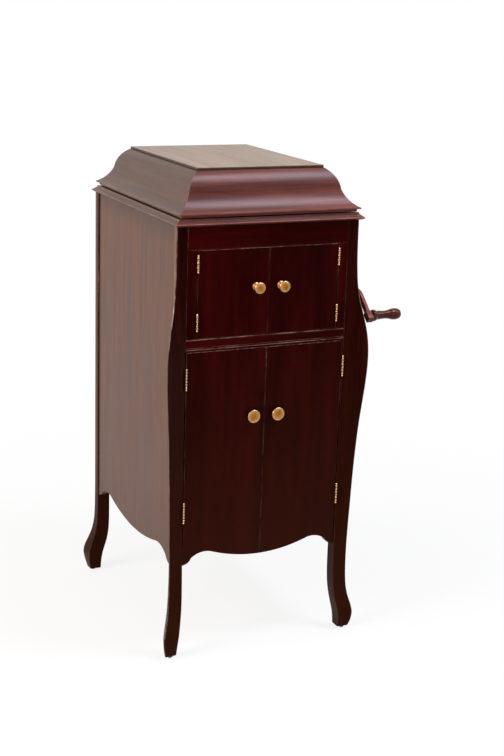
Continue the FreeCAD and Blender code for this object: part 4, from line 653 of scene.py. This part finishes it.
upper_door = door(oblong(MEET, STILE_IN - HINGE_GAP, MID_RAIL_TOP + DOOR_GAP, TOP_RAIL_LOW - DOOR_GAP))
lower_out, lower_top = LEG_IN - HINGE_GAP, MID_RAIL_LOW - DOOR_GAP
lower_line = scallop(LEG_IN, lower_out)
lower_line[-1, 0] = MEET
lower_rest = [(MEET, 460), (MEET, lower_top), (94, lower_top), (lower_out, lower_top), (lower_out, 450)]
lower_door = door(np.vstack([lower_line, lower_rest])[::-1])
for side, flip in SIDES:
    for level, shell in (("upper", upper_door), ("lower", lower_door)):
        name = f"{level}_{side}_door"
        piece(f"door_{level}_{side}", [moved(shell, flip)], name, UPRIGHT, name)
print("doors", made[-4:])

# %% [markdown]
# ## Mouldings and lid
# The case ends in a moulding and the lid is a deep ogee: both are one profile run round a rectangle
# and mitred at the corners. Each side is its own length of wood, so the mitres stay crisp.

# %% Mitred frames
MITRE_GAP = 0.06
CASE_HALF, LID_HALF, TOP_HALF = (222.5, 270.0), (213.5, 265.5), (150.0, 202.0)
LID_BASE, TOP_INSIDE, TOP_LOW, TOP_HIGH = 989.5, 1079.5, 1080.0, 1085.0


def mitred(profile, half, height, wear_and_painted_light):
    """Four lengths: a profile point at inset i runs from corner to corner of the rectangle pulled in by i."""
    inset, up = profile.T
    share, end_wear = np.array([(-1, 0.3), (-0.985, 0.05), (0, 0), (0.985, 0.05), (1, 0.3)]).T[..., None]
    shells = []
    for quarter in range(4):
        half_long, reach = half if quarter % 2 == 0 else half[::-1]
        along = share * (half_long - inset - MITRE_GAP)
        grid = np.stack(np.broadcast_arrays(along, inset - reach, up + height), -1)
        shells.append(moved(skin(grid, wear_and_painted_light=np.clip(wear_and_painted_light + end_wear, 0, 1)), turn_about("Z", 90 * quarter)))
    return shells


def frame_pieces(name, shells, body, node):
    """Two pieces, so that the grain follows the front and back lengths and the side lengths."""
    piece(name + "_across", shells[0::2], body, LID_ACROSS, node, crisp=32)
    piece(name + "_deep", shells[1::2], body, LID_DEEP, node, crisp=32)


slope = arc((1.4, 6.4), (10.5, 13.6), 40, -1, 8)
nose_low = eased([(38, 0), (7, 0), (0, 3.8), (0, 5.4), (1.4, 6.4), slope[1]], 0.7, 3, False)
nose_high = eased([slope[-2], (10.5, 13.6), (10.5, 16), (38, 16)], 0.7, 3, False)
nose = np.vstack([nose_low[:-1], slope[1:-1], nose_high[1:]])
nose_wear = 1.2 * bell(nose[:, 1], 5.8, 0.9) + 0.6 * bell(nose[:, 1], 13.6, 0.8)
frame_pieces("moulding_case", mitred(nose, CASE_HALF, CASE_TOP, nose_wear), "cabinet", "case_moulding")
lip = eased([(22, 0), (7, 0), (7, 5), (0.1, 5.8), (0, 8), (2.4, 13)], 0.7, 3, False)
hollow, round_top = arc((0, 8), (34, 46.5), 68, -1, 18), arc((34, 46.5), (63.5, 90), 60, 1, 18)
ogee = np.vstack([lip[:-1], hollow[2:-1], round_top, [(79.5, 90)]])
ogee_wear = 0.6 * bell(ogee[:, 1], 8.2, 1.6) * (ogee[:, 0] < 3)
frame_pieces("lid_ogee", mitred(ogee, LID_HALF, LID_BASE, ogee_wear), "lid", "lid_mouldings")
top_x, top_y = TOP_HALF
top_rim = eased(four(-top_x, top_x, -top_y, top_y), 1.5, 3)
top_shell = board(top_rim, TOP_LOW, TOP_HIGH, "top", 1.6)
# the edge and underside of the top board take the dark rim colour all round, a painted shade line where the
# board sits on the ogee; only its top face stays clear
shade_rim_marks = np.ones(len(top_shell[0]))
shade_rim_marks[-len(top_rim):] = 0
piece("lid_top", [with_marks(top_shell, shade_rim_marks)], "lid", TOP_DEEP, "lid_top_board")
piece("lid_top_inside", [board(top_rim, TOP_INSIDE, TOP_LOW, "top", 0.2, 2, 0)], "lid", LID_DEEP,
      "lid_top_board")
print("mouldings", made[-6:])

# %% [markdown]
# ## Knobs
# Spun brass knobs: the upper pair have a rosette, a waist and a domed head; the lower pair are
# flatter, with a raised rim round the face.

# %% Knobs
KNOB_X, UPPER_KNOB_Z, LOWER_KNOB_Z = 29.5, 836.0, 547.0
upper_knob = eased([
    (0.1, 0), (9.2, 0), (9.2, 1.6), (7.4, 3.2), (5.0, 5.2), (4.4, 9.5), (5.2, 12.6), (9.2, 15.6),
    (12.4, 18.2), (13, 20.4), (11.6, 22.6), (8.4, 23.6), (4.2, 24), (0.1, 24)], 1.6, 4, False)
lower_knob = eased([
    (0.1, 0), (8.4, 0), (8.4, 1.2), (6.6, 2.2), (5.2, 3.6), (5, 5.2), (7.2, 6.8), (13.2, 8.2), (15, 9.4),
    (15, 11.4), (13.8, 12.8), (12.6, 13), (11.6, 12.2), (6, 11.6), (0.1, 11.4)], 0.8, 4, False)
for level, profile, height in (("upper", upper_knob, UPPER_KNOB_Z), ("lower", lower_knob, LOWER_KNOB_Z)):
    rim = 0.5 * np.clip(profile[:, 0] / profile[:, 0].max() * 1.6 - 0.6, 0, 1)
    shell = lathe(profile, (KNOB_X, -FRONT, height), "front", 56, wear_and_painted_light=rim)
    for side, flip in SIDES:
        piece(f"knob_{level}_{side}", [moved(shell, flip)], f"{level}_{side}_door", BRASS,
              f"{level}_{side}_knob", crisp=45)
print("knobs", made[-4:])

# %% [markdown]
# ## Ball-tipped butt hinges
# Only the knuckles and the balls show when a door is shut; the leaves lie in the joint. Each knuckle
# is turned with rounded ends and a groove, so the barrel reads as a string of small brass beads. Their
# crests and the balls are coloured pale: brass polished by hands, and a painted highlight.

# %% Hinges
UPPER_AXIS, LOWER_AXIS, HINGE_Y = 167.2, 189.2, -260.3
LID_HINGE_X, LID_HINGE_Y, LID_HINGE_Z = 125.0, 265.5, 988.5
BARREL, GROOVE, BALL, PIN, LEAF_NEAR, LEAF_FAR = 2.3, 1.2, 2.2, 1.35, 0.1, 1.0


def knuckle(low, high):
    """A barrel with eased ends and a groove round its middle, its crests made pale by handling and by a
    painted highlight.
    """
    half = (high - low) / 2
    upper = np.array([(GROOVE, 0.6, 0), (BARREL, 1.6, 0.7), (BARREL, half - 1.4, 0.7), (1.4, half, 0),
                      (GROOVE, half, 0)])
    line = np.vstack([upper[::-1] * [1, -1, 1], upper])
    return lathe(line[:, :2], (0, 0, (low + high) / 2), turns=24, wear_and_painted_light=line[:, 2])


def leaf(long, near, far, spans):
    """A leaf, and for each span of the barrel a knuckle with the tab that joins it to the leaf."""
    shells = [board(oblong(2.9, 20, -long / 2, long / 2), near, far, "side", 0.2, 2)]
    for low, high in spans:
        shells += [knuckle(low, high), board(oblong(1.7, 3.2, low, high), near, far, "side", 0.1, 2)]
    return shells


def hinge(long):
    """Case leaf, door leaf and pin on their own Z axis, the case on +X and the joint on +Y."""
    third, slack = long / 6, 0.15
    case_side = leaf(long, LEAF_NEAR, LEAF_FAR, [(-long / 2, -third - slack), (third + slack, long / 2)])
    door_side = leaf(long, -LEAF_FAR, -LEAF_NEAR, [(-third + slack, third - slack)])
    turn = np.linspace(-1.35, np.pi / 2, 12)
    ball = np.stack([BALL * np.cos(turn), BALL * np.sin(turn) + long / 2 + 2.3], -1)
    # the balls take the pale brass colour all over, a painted highlight
    tip = lathe(np.vstack([[(PIN, long / 2 - 1)], ball]), turns=24, wear_and_painted_light=1.0)
    return case_side, door_side, [tip, moved(tip, FLIP_Z)]


def hung(shells, axis, height, flip):
    """A hinge's shells moved to its axis and height, then flipped to its side of the case."""
    return [moved(moved(shell, shift=(axis, HINGE_Y, height)), flip) for shell in shells]


fixed, pins, door_leaves, lid_leaves = [], [], {}, []
for level, long, axis, heights in (("upper", 30.4, UPPER_AXIS, (892.0, 765.5)),
                                   ("lower", 40.3, LOWER_AXIS, (642.0, 338.5))):
    case_side, door_side, pin = hinge(long)
    for side, flip in SIDES:
        for height in heights:
            fixed += hung(case_side, axis, height, flip)
            pins += hung(pin, axis, height, flip)
            door_leaves.setdefault((level, side), []).extend(hung(door_side, axis, height, flip))
lid_turn = np.array([[0, 0, -1], [0, -1, 0], [-1, 0, 0]])
case_side, lid_side, pin = hinge(50.0)
for x in (LID_HINGE_X, -LID_HINGE_X):
    for shells, store in ((case_side, fixed), (lid_side, lid_leaves), (pin, pins)):
        store += [moved(shell, lid_turn, (x, LID_HINGE_Y, LID_HINGE_Z)) for shell in shells]
piece("hinge_leaves_case", fixed, "cabinet", BRASS, "case_hinge_leaves")
piece("hinge_pins_balls", pins, "cabinet", BRASS, "hinge_pins")
piece("hinge_leaves_lid", lid_leaves, "lid", BRASS, "lid_hinge_leaves")
for (level, side), shells in door_leaves.items():
    piece(f"hinge_leaves_{level}_{side}", shells, f"{level}_{side}_door", BRASS,
          f"{level}_{side}_door_leaves")
print("hinges", made[-7:])

# %% [markdown]
# ## Crank and grip
# The crank is a forged flat bar, bent outward so that the hand clears the case, with a hub at one end
# and a block at the other. The grip is turned wood, with a collar, a slim waist and a bulb.

# %% Crank
CRANK_TURN, CRANK_Y, CRANK_Z = turn_about("X", 41.8), -100, 842
HUB_FOOT, HUB, TIP, THROW, END_HALF, SHAFT_HOLE = 217.0, 225.0, 277.0, 152.0, 7.5, 8.1
GRIP_BORE, GRIP_LONG = 4.15, 75.0
bar_path = eased([(HUB, 2), (HUB, -25), (TIP, -86), (TIP, -THROW)], 11, 8, False)
bar_path = np.vstack([bar_path[:-1], np.linspace(bar_path[-2], bar_path[-1], 6)[1:]])
bar_path = np.column_stack([bar_path, np.zeros(len(bar_path))])
bar_section = eased(four(-7, 7, -4.5, 4.5), 2.2, 3)
bar = with_marks(pipe(bar_path, bar_section, (0, 0, 1)), np.tile([0, 0.7, 0.7, 0], 4 * len(bar_path)))
hub = lathe(four(SHAFT_HOLE, 11, 0, 16), (HUB_FOOT, 0, 0), "x", 40, ring=True, ease=1.4)
block_line = eased(four(-THROW - 14, -THROW + 10, -8.5, 8.5), 3.0)
block = board(block_line, TIP - END_HALF, TIP + END_HALF, "side", 1.4)
stem_line = [(0.1, -1), (3.95, -1), (3.95, 65), (3.4, 67.2), (0.1, 67.2)]
stem = lathe(stem_line, (TIP + END_HALF, -THROW, 0), "x", 24)
crank_shells = [moved(shell, CRANK_TURN, (0, CRANK_Y, CRANK_Z)) for shell in (bar, hub, block, stem)]
piece("crank_bar", crank_shells, "crank", BROWN_IRON, "crank_arm", crisp=45)
# reach along the grip, radius
grip_table = [
    (0.3, 12.6), (1.6, 13.3), (4.5, 13.4), (7.4, 13.1), (9.0, 12.0), (10.6, 11.0), (13, 10.7), (22, 9.9),
    (35.2, 9.3), (43, 10.2), (49.5, 12.0), (54, 12.9), (58.5, 13.2), (64, 12.8), (69.5, 11.1), (73.3, 7.6),
    (GRIP_LONG, 2.6)]
reach = np.concatenate([np.linspace(0.3, 13, 22), np.linspace(14, 69, 36), np.linspace(69.8, GRIP_LONG, 12)])
grip_line = np.column_stack([through(reach, grip_table)[:, 0], reach])
grip_end = [(0.1, GRIP_LONG), (0.1, 67.9), (GRIP_BORE, 67.7)]
grip_line = np.vstack([[(GRIP_BORE, 0.3)], grip_line, grip_end])
grip_spot = CRANK_TURN @ [0, -THROW, 0] + [TIP + END_HALF, CRANK_Y, CRANK_Z]
grip = lathe(grip_line, grip_spot, "x", 48, ring=True, wear_and_painted_light=0.6 * bell(grip_line[:, 1], 9, 3))
piece("crank_handgrip", [grip], "grip", GRIP_WOOD, "crank_grip", crisp=50)
print("crank", made[-2:])

# %% Escutcheon


def three_round(radius, first):
    """Three spots on a circle, a third of a turn apart, from an angle in degrees."""
    angles = np.radians([first, first + 120, first + 240])
    return [(radius * math.cos(a), radius * math.sin(a)) for a in angles]


plate_at = np.array([PANEL_OUT, CRANK_Y, CRANK_Z])
plate = [(SHAFT_HOLE, 0), (21, 0), (21, 1.4), (18.6, 2.4), (15, 3), (SHAFT_HOLE, 3)]
bush = four(SHAFT_HOLE, 10.95, -PANEL_THICK, 0.2)
screw = [(0.1, 3.2), (1.2, 3.15), (2.2, 2.8), (2.6, 2.3), (2.6, 1.9)]
screws = [lathe(screw, plate_at + [0, u, v], "x", 16) for u, v in three_round(15.6, 90)]
rosette = [lathe(plate, plate_at, "x", 48, ring=True, ease=0.6), lathe(bush, plate_at, "x", 40, ring=True)]
piece("crank_rosette", rosette + screws, "cabinet", BRASS, "crank_escutcheon")
print("escutcheon", len(screws), "screws")

# %% [markdown]
# ## Turntable, felt and the fittings of the deck
# With the lid up the deck shows: a pressed steel platter with a rolled rim under green felt, the
# spindle, two needle cups let into the board, and the flanged base of the tone arm.

# %% Turntable
BOARD_TOP, SPINDLE, SPINDLE_HOLE, ARM_AT = 940, (0, -75, 0), 4.25, np.array([0, 165, 0])
CUP_X, CUP_Y, ARM_HOLE = 168, -200, 17.06
platter = [
    (SPINDLE_HOLE, 944), (12, 944), (12, 952), (148, 952), (148, 946), (149, 946), (152, 947.4),
    (152, 954.4), (150.4, 956), (SPINDLE_HOLE, 956)]
platter = lathe(platter, SPINDLE, turns=128, ring=True, ease=1.2, steps=4)
piece("platter_disc", [platter], "platter", NICKEL, "turntable")
mat = lathe(four(SPINDLE_HOLE, 150, 956, 957.5), SPINDLE, turns=128, ring=True, ease=0.5)
piece("platter_felt", [mat], "platter", FELT, "turntable_felt")
cup = [
    (0.1, -12), (13.2, -12), (14, -11.2), (14, 0), (18, 0), (18, 0.9), (16.6, 1.8), (13.4, 1.8), (12.5, 1),
    (12.5, -9.6), (11.6, -10.5), (0.1, -10.5)]
cups = [lathe(cup, (x, CUP_Y, BOARD_TOP), turns=40, ease=0.6) for x in (-CUP_X, CUP_X)]
piece("needle_cup_pair", cups, "cabinet", NICKEL, "needle_cups")
flange = [
    (ARM_HOLE, BOARD_TOP), (36, BOARD_TOP), (36, 943.6), (34.4, 945), (26, 945.4), (22, 948.4),
    (22, 961.2), (21.2, 962), (ARM_HOLE, 962)]
flange = lathe(flange, ARM_AT, ring=True, ease=1.0)
base_screw = [(3.2, 944.6), (2.8, 945.6), (1.4, 946.1), (0.1, 945.2)]
base_screws = [lathe(base_screw, ARM_AT + [u, v, 0], turns=16) for u, v in three_round(29.5, 30)]
piece("arm_base_flange", [flange] + base_screws, "cabinet", NICKEL, "tonearm_base")
print("deck", made[-4:])

# %% [markdown]
# ## Tone arm, gooseneck and sound box
# A tapering nickel tube rises from its base, turns level and runs to the gooseneck, which carries
# the sound box on edge: a drum with a mica window, a rubber ring, a stylus bar and a needle. The
# arm is drawn along +X and then turned to its resting place.

# %% Tone arm and gooseneck
ARM_TURN = turn_about("Z", -38.3)
ARM_HIGH, ARM_BEND, ARM_END, ARM_RADIUS, ARM_END_RADIUS = 992.0, 20.0, 170.0, 17.0, 12.0
NECK_START, NECK_BEND, NECK_RADIUS = 189.0, 18.0, 9.0


def on_arm(shells):
    """Shells drawn along +X, turned to the resting arm."""
    return [moved(shell, ARM_TURN, ARM_AT) for shell in shells]


def level_run(start, end, count):
    """Points along +X at the height of the arm."""
    return np.column_stack([np.linspace(start, end, count), np.zeros(count), np.full(count, ARM_HIGH)])


quarter = np.linspace(0, np.pi / 2, 15)
rise = np.column_stack([np.zeros(4), np.zeros(4), np.linspace(BOARD_TOP + 1, 970, 4)])
elbow = np.column_stack([ARM_BEND * (1 - np.cos(quarter)), 0 * quarter,
                         ARM_HIGH - ARM_BEND * (1 - np.sin(quarter))])
run = level_run(23, ARM_END, 12)
taper = np.interp(run[:, 0], [ARM_BEND, ARM_END], [ARM_RADIUS, ARM_END_RADIUS])
taper[-1] -= 0.6
arm_radius = np.concatenate([np.full(len(rise) + len(elbow), ARM_RADIUS), taper])
arm_tube = pipe(np.vstack([rise, elbow, run]), circle(arm_radius, 48), (0, 1, 0))
collar = [(16.6, 962.4), (21.6, 962.4), (22, 963), (22, 965.4), (20.8, 966.3), (16.6, 966.6)]
collar = lathe(collar, turns=56, ring=True, ease=0.5)
piece("arm_tube", on_arm([arm_tube, collar]), "tonearm", NICKEL, "tonearm", crisp=45)
neck_bend = np.column_stack([NECK_START + NECK_BEND * np.sin(quarter), NECK_BEND * (np.cos(quarter) - 1),
                             np.full(len(quarter), ARM_HIGH)])
drum_x = NECK_START + NECK_BEND
neck_end = [(drum_x, -21, ARM_HIGH), (drum_x, -26, ARM_HIGH)]
neck = pipe(np.vstack([level_run(160.4, 187, 5), neck_bend, neck_end]), circle(NECK_RADIUS), (0, 0, 1))
neck_ring = [(8.8, 0), (11.4, 0), (12, 0.7), (12, 4.3), (11.4, 5), (8.8, 5)]
neck_ring = lathe(neck_ring, (170.3, 0, ARM_HIGH), "x", 48, ring=True, ease=0.4)
piece("gooseneck_tube", on_arm([neck, neck_ring]), "gooseneck", NICKEL, "gooseneck", crisp=45)
print("arm", made[-2:])

# %% Sound box
DRUM_AT, BAR_Y = np.array([drum_x, -26, ARM_HIGH]), -43
drum = [
    (0.1, 0), (13.5, 0), (16, 2), (20, 4.8), (24.4, 5.4), (25, 6.2), (25, 15.2), (24.2, 16), (21, 16),
    (20.5, 15.4), (20.5, 12.6), (0.1, 12.6)]
drum = lathe(drum, DRUM_AT, "front", 72, ease=0.7, steps=4)
lug = [(0.1, 4.6), (3.4, 4.6), (3.4, 15.6), (2.8, 16), (0.1, 16)]
lugs = [lathe(lug, DRUM_AT + [u, 0, v], "front", 16) for u, v in three_round(22.6, 90)]
stylus_bar = [(205.6, 963.6), (208.4, 963.6), (208.2, 990), (209.6, 993.4), (204.4, 993.4), (205.8, 990)]
stylus_bar = board(eased(stylus_bar, 0.6, 3), BAR_Y - 1, BAR_Y + 1, "front", 0.4, 3)
bar_foot = lathe(four(0.1, 1.4, 12.9, 16.6), DRUM_AT, "front", 16)
thumb = [(0.1, 0), (1.1, 0), (1.1, 3), (3, 3.2), (3, 5.2), (0.1, 5.4)]
thumb = lathe(thumb, (208.2, BAR_Y, 965.6), "x", 16, ease=0.3, steps=2)
needle = [(0.05, 960), (0.3, 961.4), (0.85, 964), (0.85, 967), (0.05, 967)]
needle = lathe(needle, (drum_x, BAR_Y, 0), turns=14)
box_shells = on_arm([drum, stylus_bar, bar_foot, thumb, needle] + lugs)
piece("sound_box_drum", box_shells, "gooseneck", NICKEL, "sound_box", crisp=45)
window = lathe(four(0.1, 19, 12.7, 13.1), DRUM_AT, "front", 56)
piece("sound_box_window", on_arm([window]), "gooseneck", MICA)
gasket = lathe(four(18.6, 20.4, 12.7, 14.4), DRUM_AT, "front", 56, ring=True, ease=0.6)
piece("sound_box_gasket", on_arm([gasket]), "gooseneck", RUBBER)
print("sound box", made[-3:])

# %% [markdown]
# ## Finishes for the CAD solids that stay
# Inner boards, the horn and the clockwork have the right shape already. They get a finish that suits
# how each was made, with the grain along the length of each board.

# %% Finish the rest
KEPT = (
    (SIDE_UPRIGHT, "right_side_panel"), (DECK_WOOD, "motor_board"), (BIRCH[X], "horn_shelf bottom_board"),
    (BIRCH[Y], "board_bearers"), (BIRCH[Z], "record_dividers"), (HORN_WOOD, "horn"),
    (JAPANNED, "horn_elbow motor_top_plate motor_bottom_plate"), (SPRING_STEEL, "mainspring"),
    (STEEL, "motor_pillars winding_shaft barrel_arbor spring_barrel spindle"),
    (BRASS, "lid_stay_bracket lid_stay intermediate_wheel governor"), (NICKEL, "brake_lever speed_lever"))
kept = [(cad_nodes[name].data.materials, finish) for finish, names in KEPT for name in names.split()]
for slots, finish in kept:
    slots.clear()
    slots.append(finish)
print("kept CAD nodes", len(kept), "of", len(cad_nodes))

# %% [markdown]
# ## Floor, light and camera
# The studio is a white sweep. The floor answers light as pale paper does and so keeps a soft shadow;
# for the camera and for mirrors it is mixed towards white, fully so a few steps away from the part.
# A broad soft box on the left, one overhead and a small one on the right model the case. The camera
# stands where a fit to corners, feet and hinges in the photo puts it.

# %% Floor
FLOOR_HALF, FLOOR_DROP = 14.0, 0.0005
floor_corners = four(-FLOOR_HALF, FLOOR_HALF, -FLOOR_HALF, FLOOR_HALF)
floor_mesh = bpy.data.meshes.new("studio_floor")
floor_mesh.from_pydata([(x, y, -FLOOR_DROP) for x, y in floor_corners], [], [(0, 1, 2, 3)])
floor = placed("studio_floor", floor_mesh)


def white_for_eyes(tree):
    """1 for rays from the camera, a mirror or glass; 0 for the rays that light things."""
    path = add_node(tree, "ShaderNodeLightPath").outputs
    seen = maths(tree, "MAXIMUM", path["Is Camera Ray"], path["Is Glossy Ray"])
    return maths(tree, "MAXIMUM", seen, path["Is Transmission Ray"])


paper = bpy.data.materials.new("white_paper_sweep")
tree = bare_tree(paper)
spot = add_node(tree, "ShaderNodeTexCoord").outputs["Object"]
away = add_node(tree, "ShaderNodeVectorMath", {0: spot}, operation="LENGTH").outputs["Value"]
share = maths(tree, "MULTIPLY", remap(tree, away, 0.5, 1.6, 0.82, 1.0), white_for_eyes(tree))
matt = add_node(tree, "ShaderNodeBsdfDiffuse", {"Color": linear("#f2f0ee")})
white = add_node(tree, "ShaderNodeEmission", {"Color": linear("#ffffff"), "Strength": 1.0})
both = add_node(tree, "ShaderNodeMixShader", {0: share, 1: matt.outputs[0], 2: white.outputs[0]})
add_node(tree, "ShaderNodeOutputMaterial", {"Surface": both.outputs[0]})
floor_mesh.materials.append(paper)
print("floor", 2 * FLOOR_HALF, "m wide")

# %% World and lamps
world = bpy.data.worlds.new("studio")
tree = bare_tree(world)
ambient = add_node(tree, "ShaderNodeBackground", {"Color": linear("#e8ecf2"), "Strength": 0.55})
backdrop = add_node(tree, "ShaderNodeBackground", {"Color": linear("#ffffff"), "Strength": 1.0})
sky = add_node(tree, "ShaderNodeMixShader", {
    0: white_for_eyes(tree), 1: ambient.outputs[0], 2: backdrop.outputs[0]})
add_node(tree, "ShaderNodeOutputWorld", {"Surface": sky.outputs[0]})
scene.world = world


def looking(place, ahead, roll=0.0):
    """The pose of a thing at a place that looks ahead along its own -Z, its X level and then rolled."""
    side = np.cross(ahead, (0, 0, 1.0))
    axes = np.stack([v / np.linalg.norm(v) for v in (side, np.cross(side, ahead), -ahead)], 1)
    return Matrix.Translation(place) @ Matrix(axes.tolist()).to_4x4() @ Matrix.Rotation(roll, 4, "Z")


def soft_box(name, place, target, size, watts, colour):
    """A square area lamp at a place, turned towards a target."""
    lamp = bpy.data.lights.new(name, "AREA")
    lamp.size = size
    lamp.energy = watts
    lamp.color = linear(colour)[:3]
    placed(name, lamp).matrix_world = looking(place, np.subtract(target, place))


soft_box("soft_box_left", (-3.0, -0.5, 2.0), (0, 0, 0.6), 1.6, 110, "#fff6ec")
soft_box("soft_box_above", (0.91, -0.84, 2.9), (0, -0.2, 1.0), 0.8, 40, "#eef3ff")
soft_box("soft_box_right", (1.7, -1.1, 2.3), (0.3, -0.2, 0.8), 0.5, 9, "#ffffff")
print("lamps", len(bpy.data.lights))

# %% Camera
EYE = (-1.299072, -2.920601, 1.455028)
YAW, PITCH, ROLL, FOCAL_PX, PHOTO_HIGH = -0.44377, -0.272025, 0.033399, 1403.339, 756
ahead = np.array([-math.sin(YAW) * math.cos(PITCH), math.cos(YAW) * math.cos(PITCH), math.sin(PITCH)])
lens = bpy.data.cameras.new("portrait_camera")
lens.sensor_fit = "VERTICAL"
lens.sensor_height = 36.0
lens.lens = FOCAL_PX * lens.sensor_height / PHOTO_HIGH
camera = placed("portrait_camera", lens)
camera.matrix_world = looking(EYE, ahead, ROLL)
scene.camera = camera
scene.view_settings.view_transform = "Standard"
print("lens", round(lens.lens, 2), "mm")
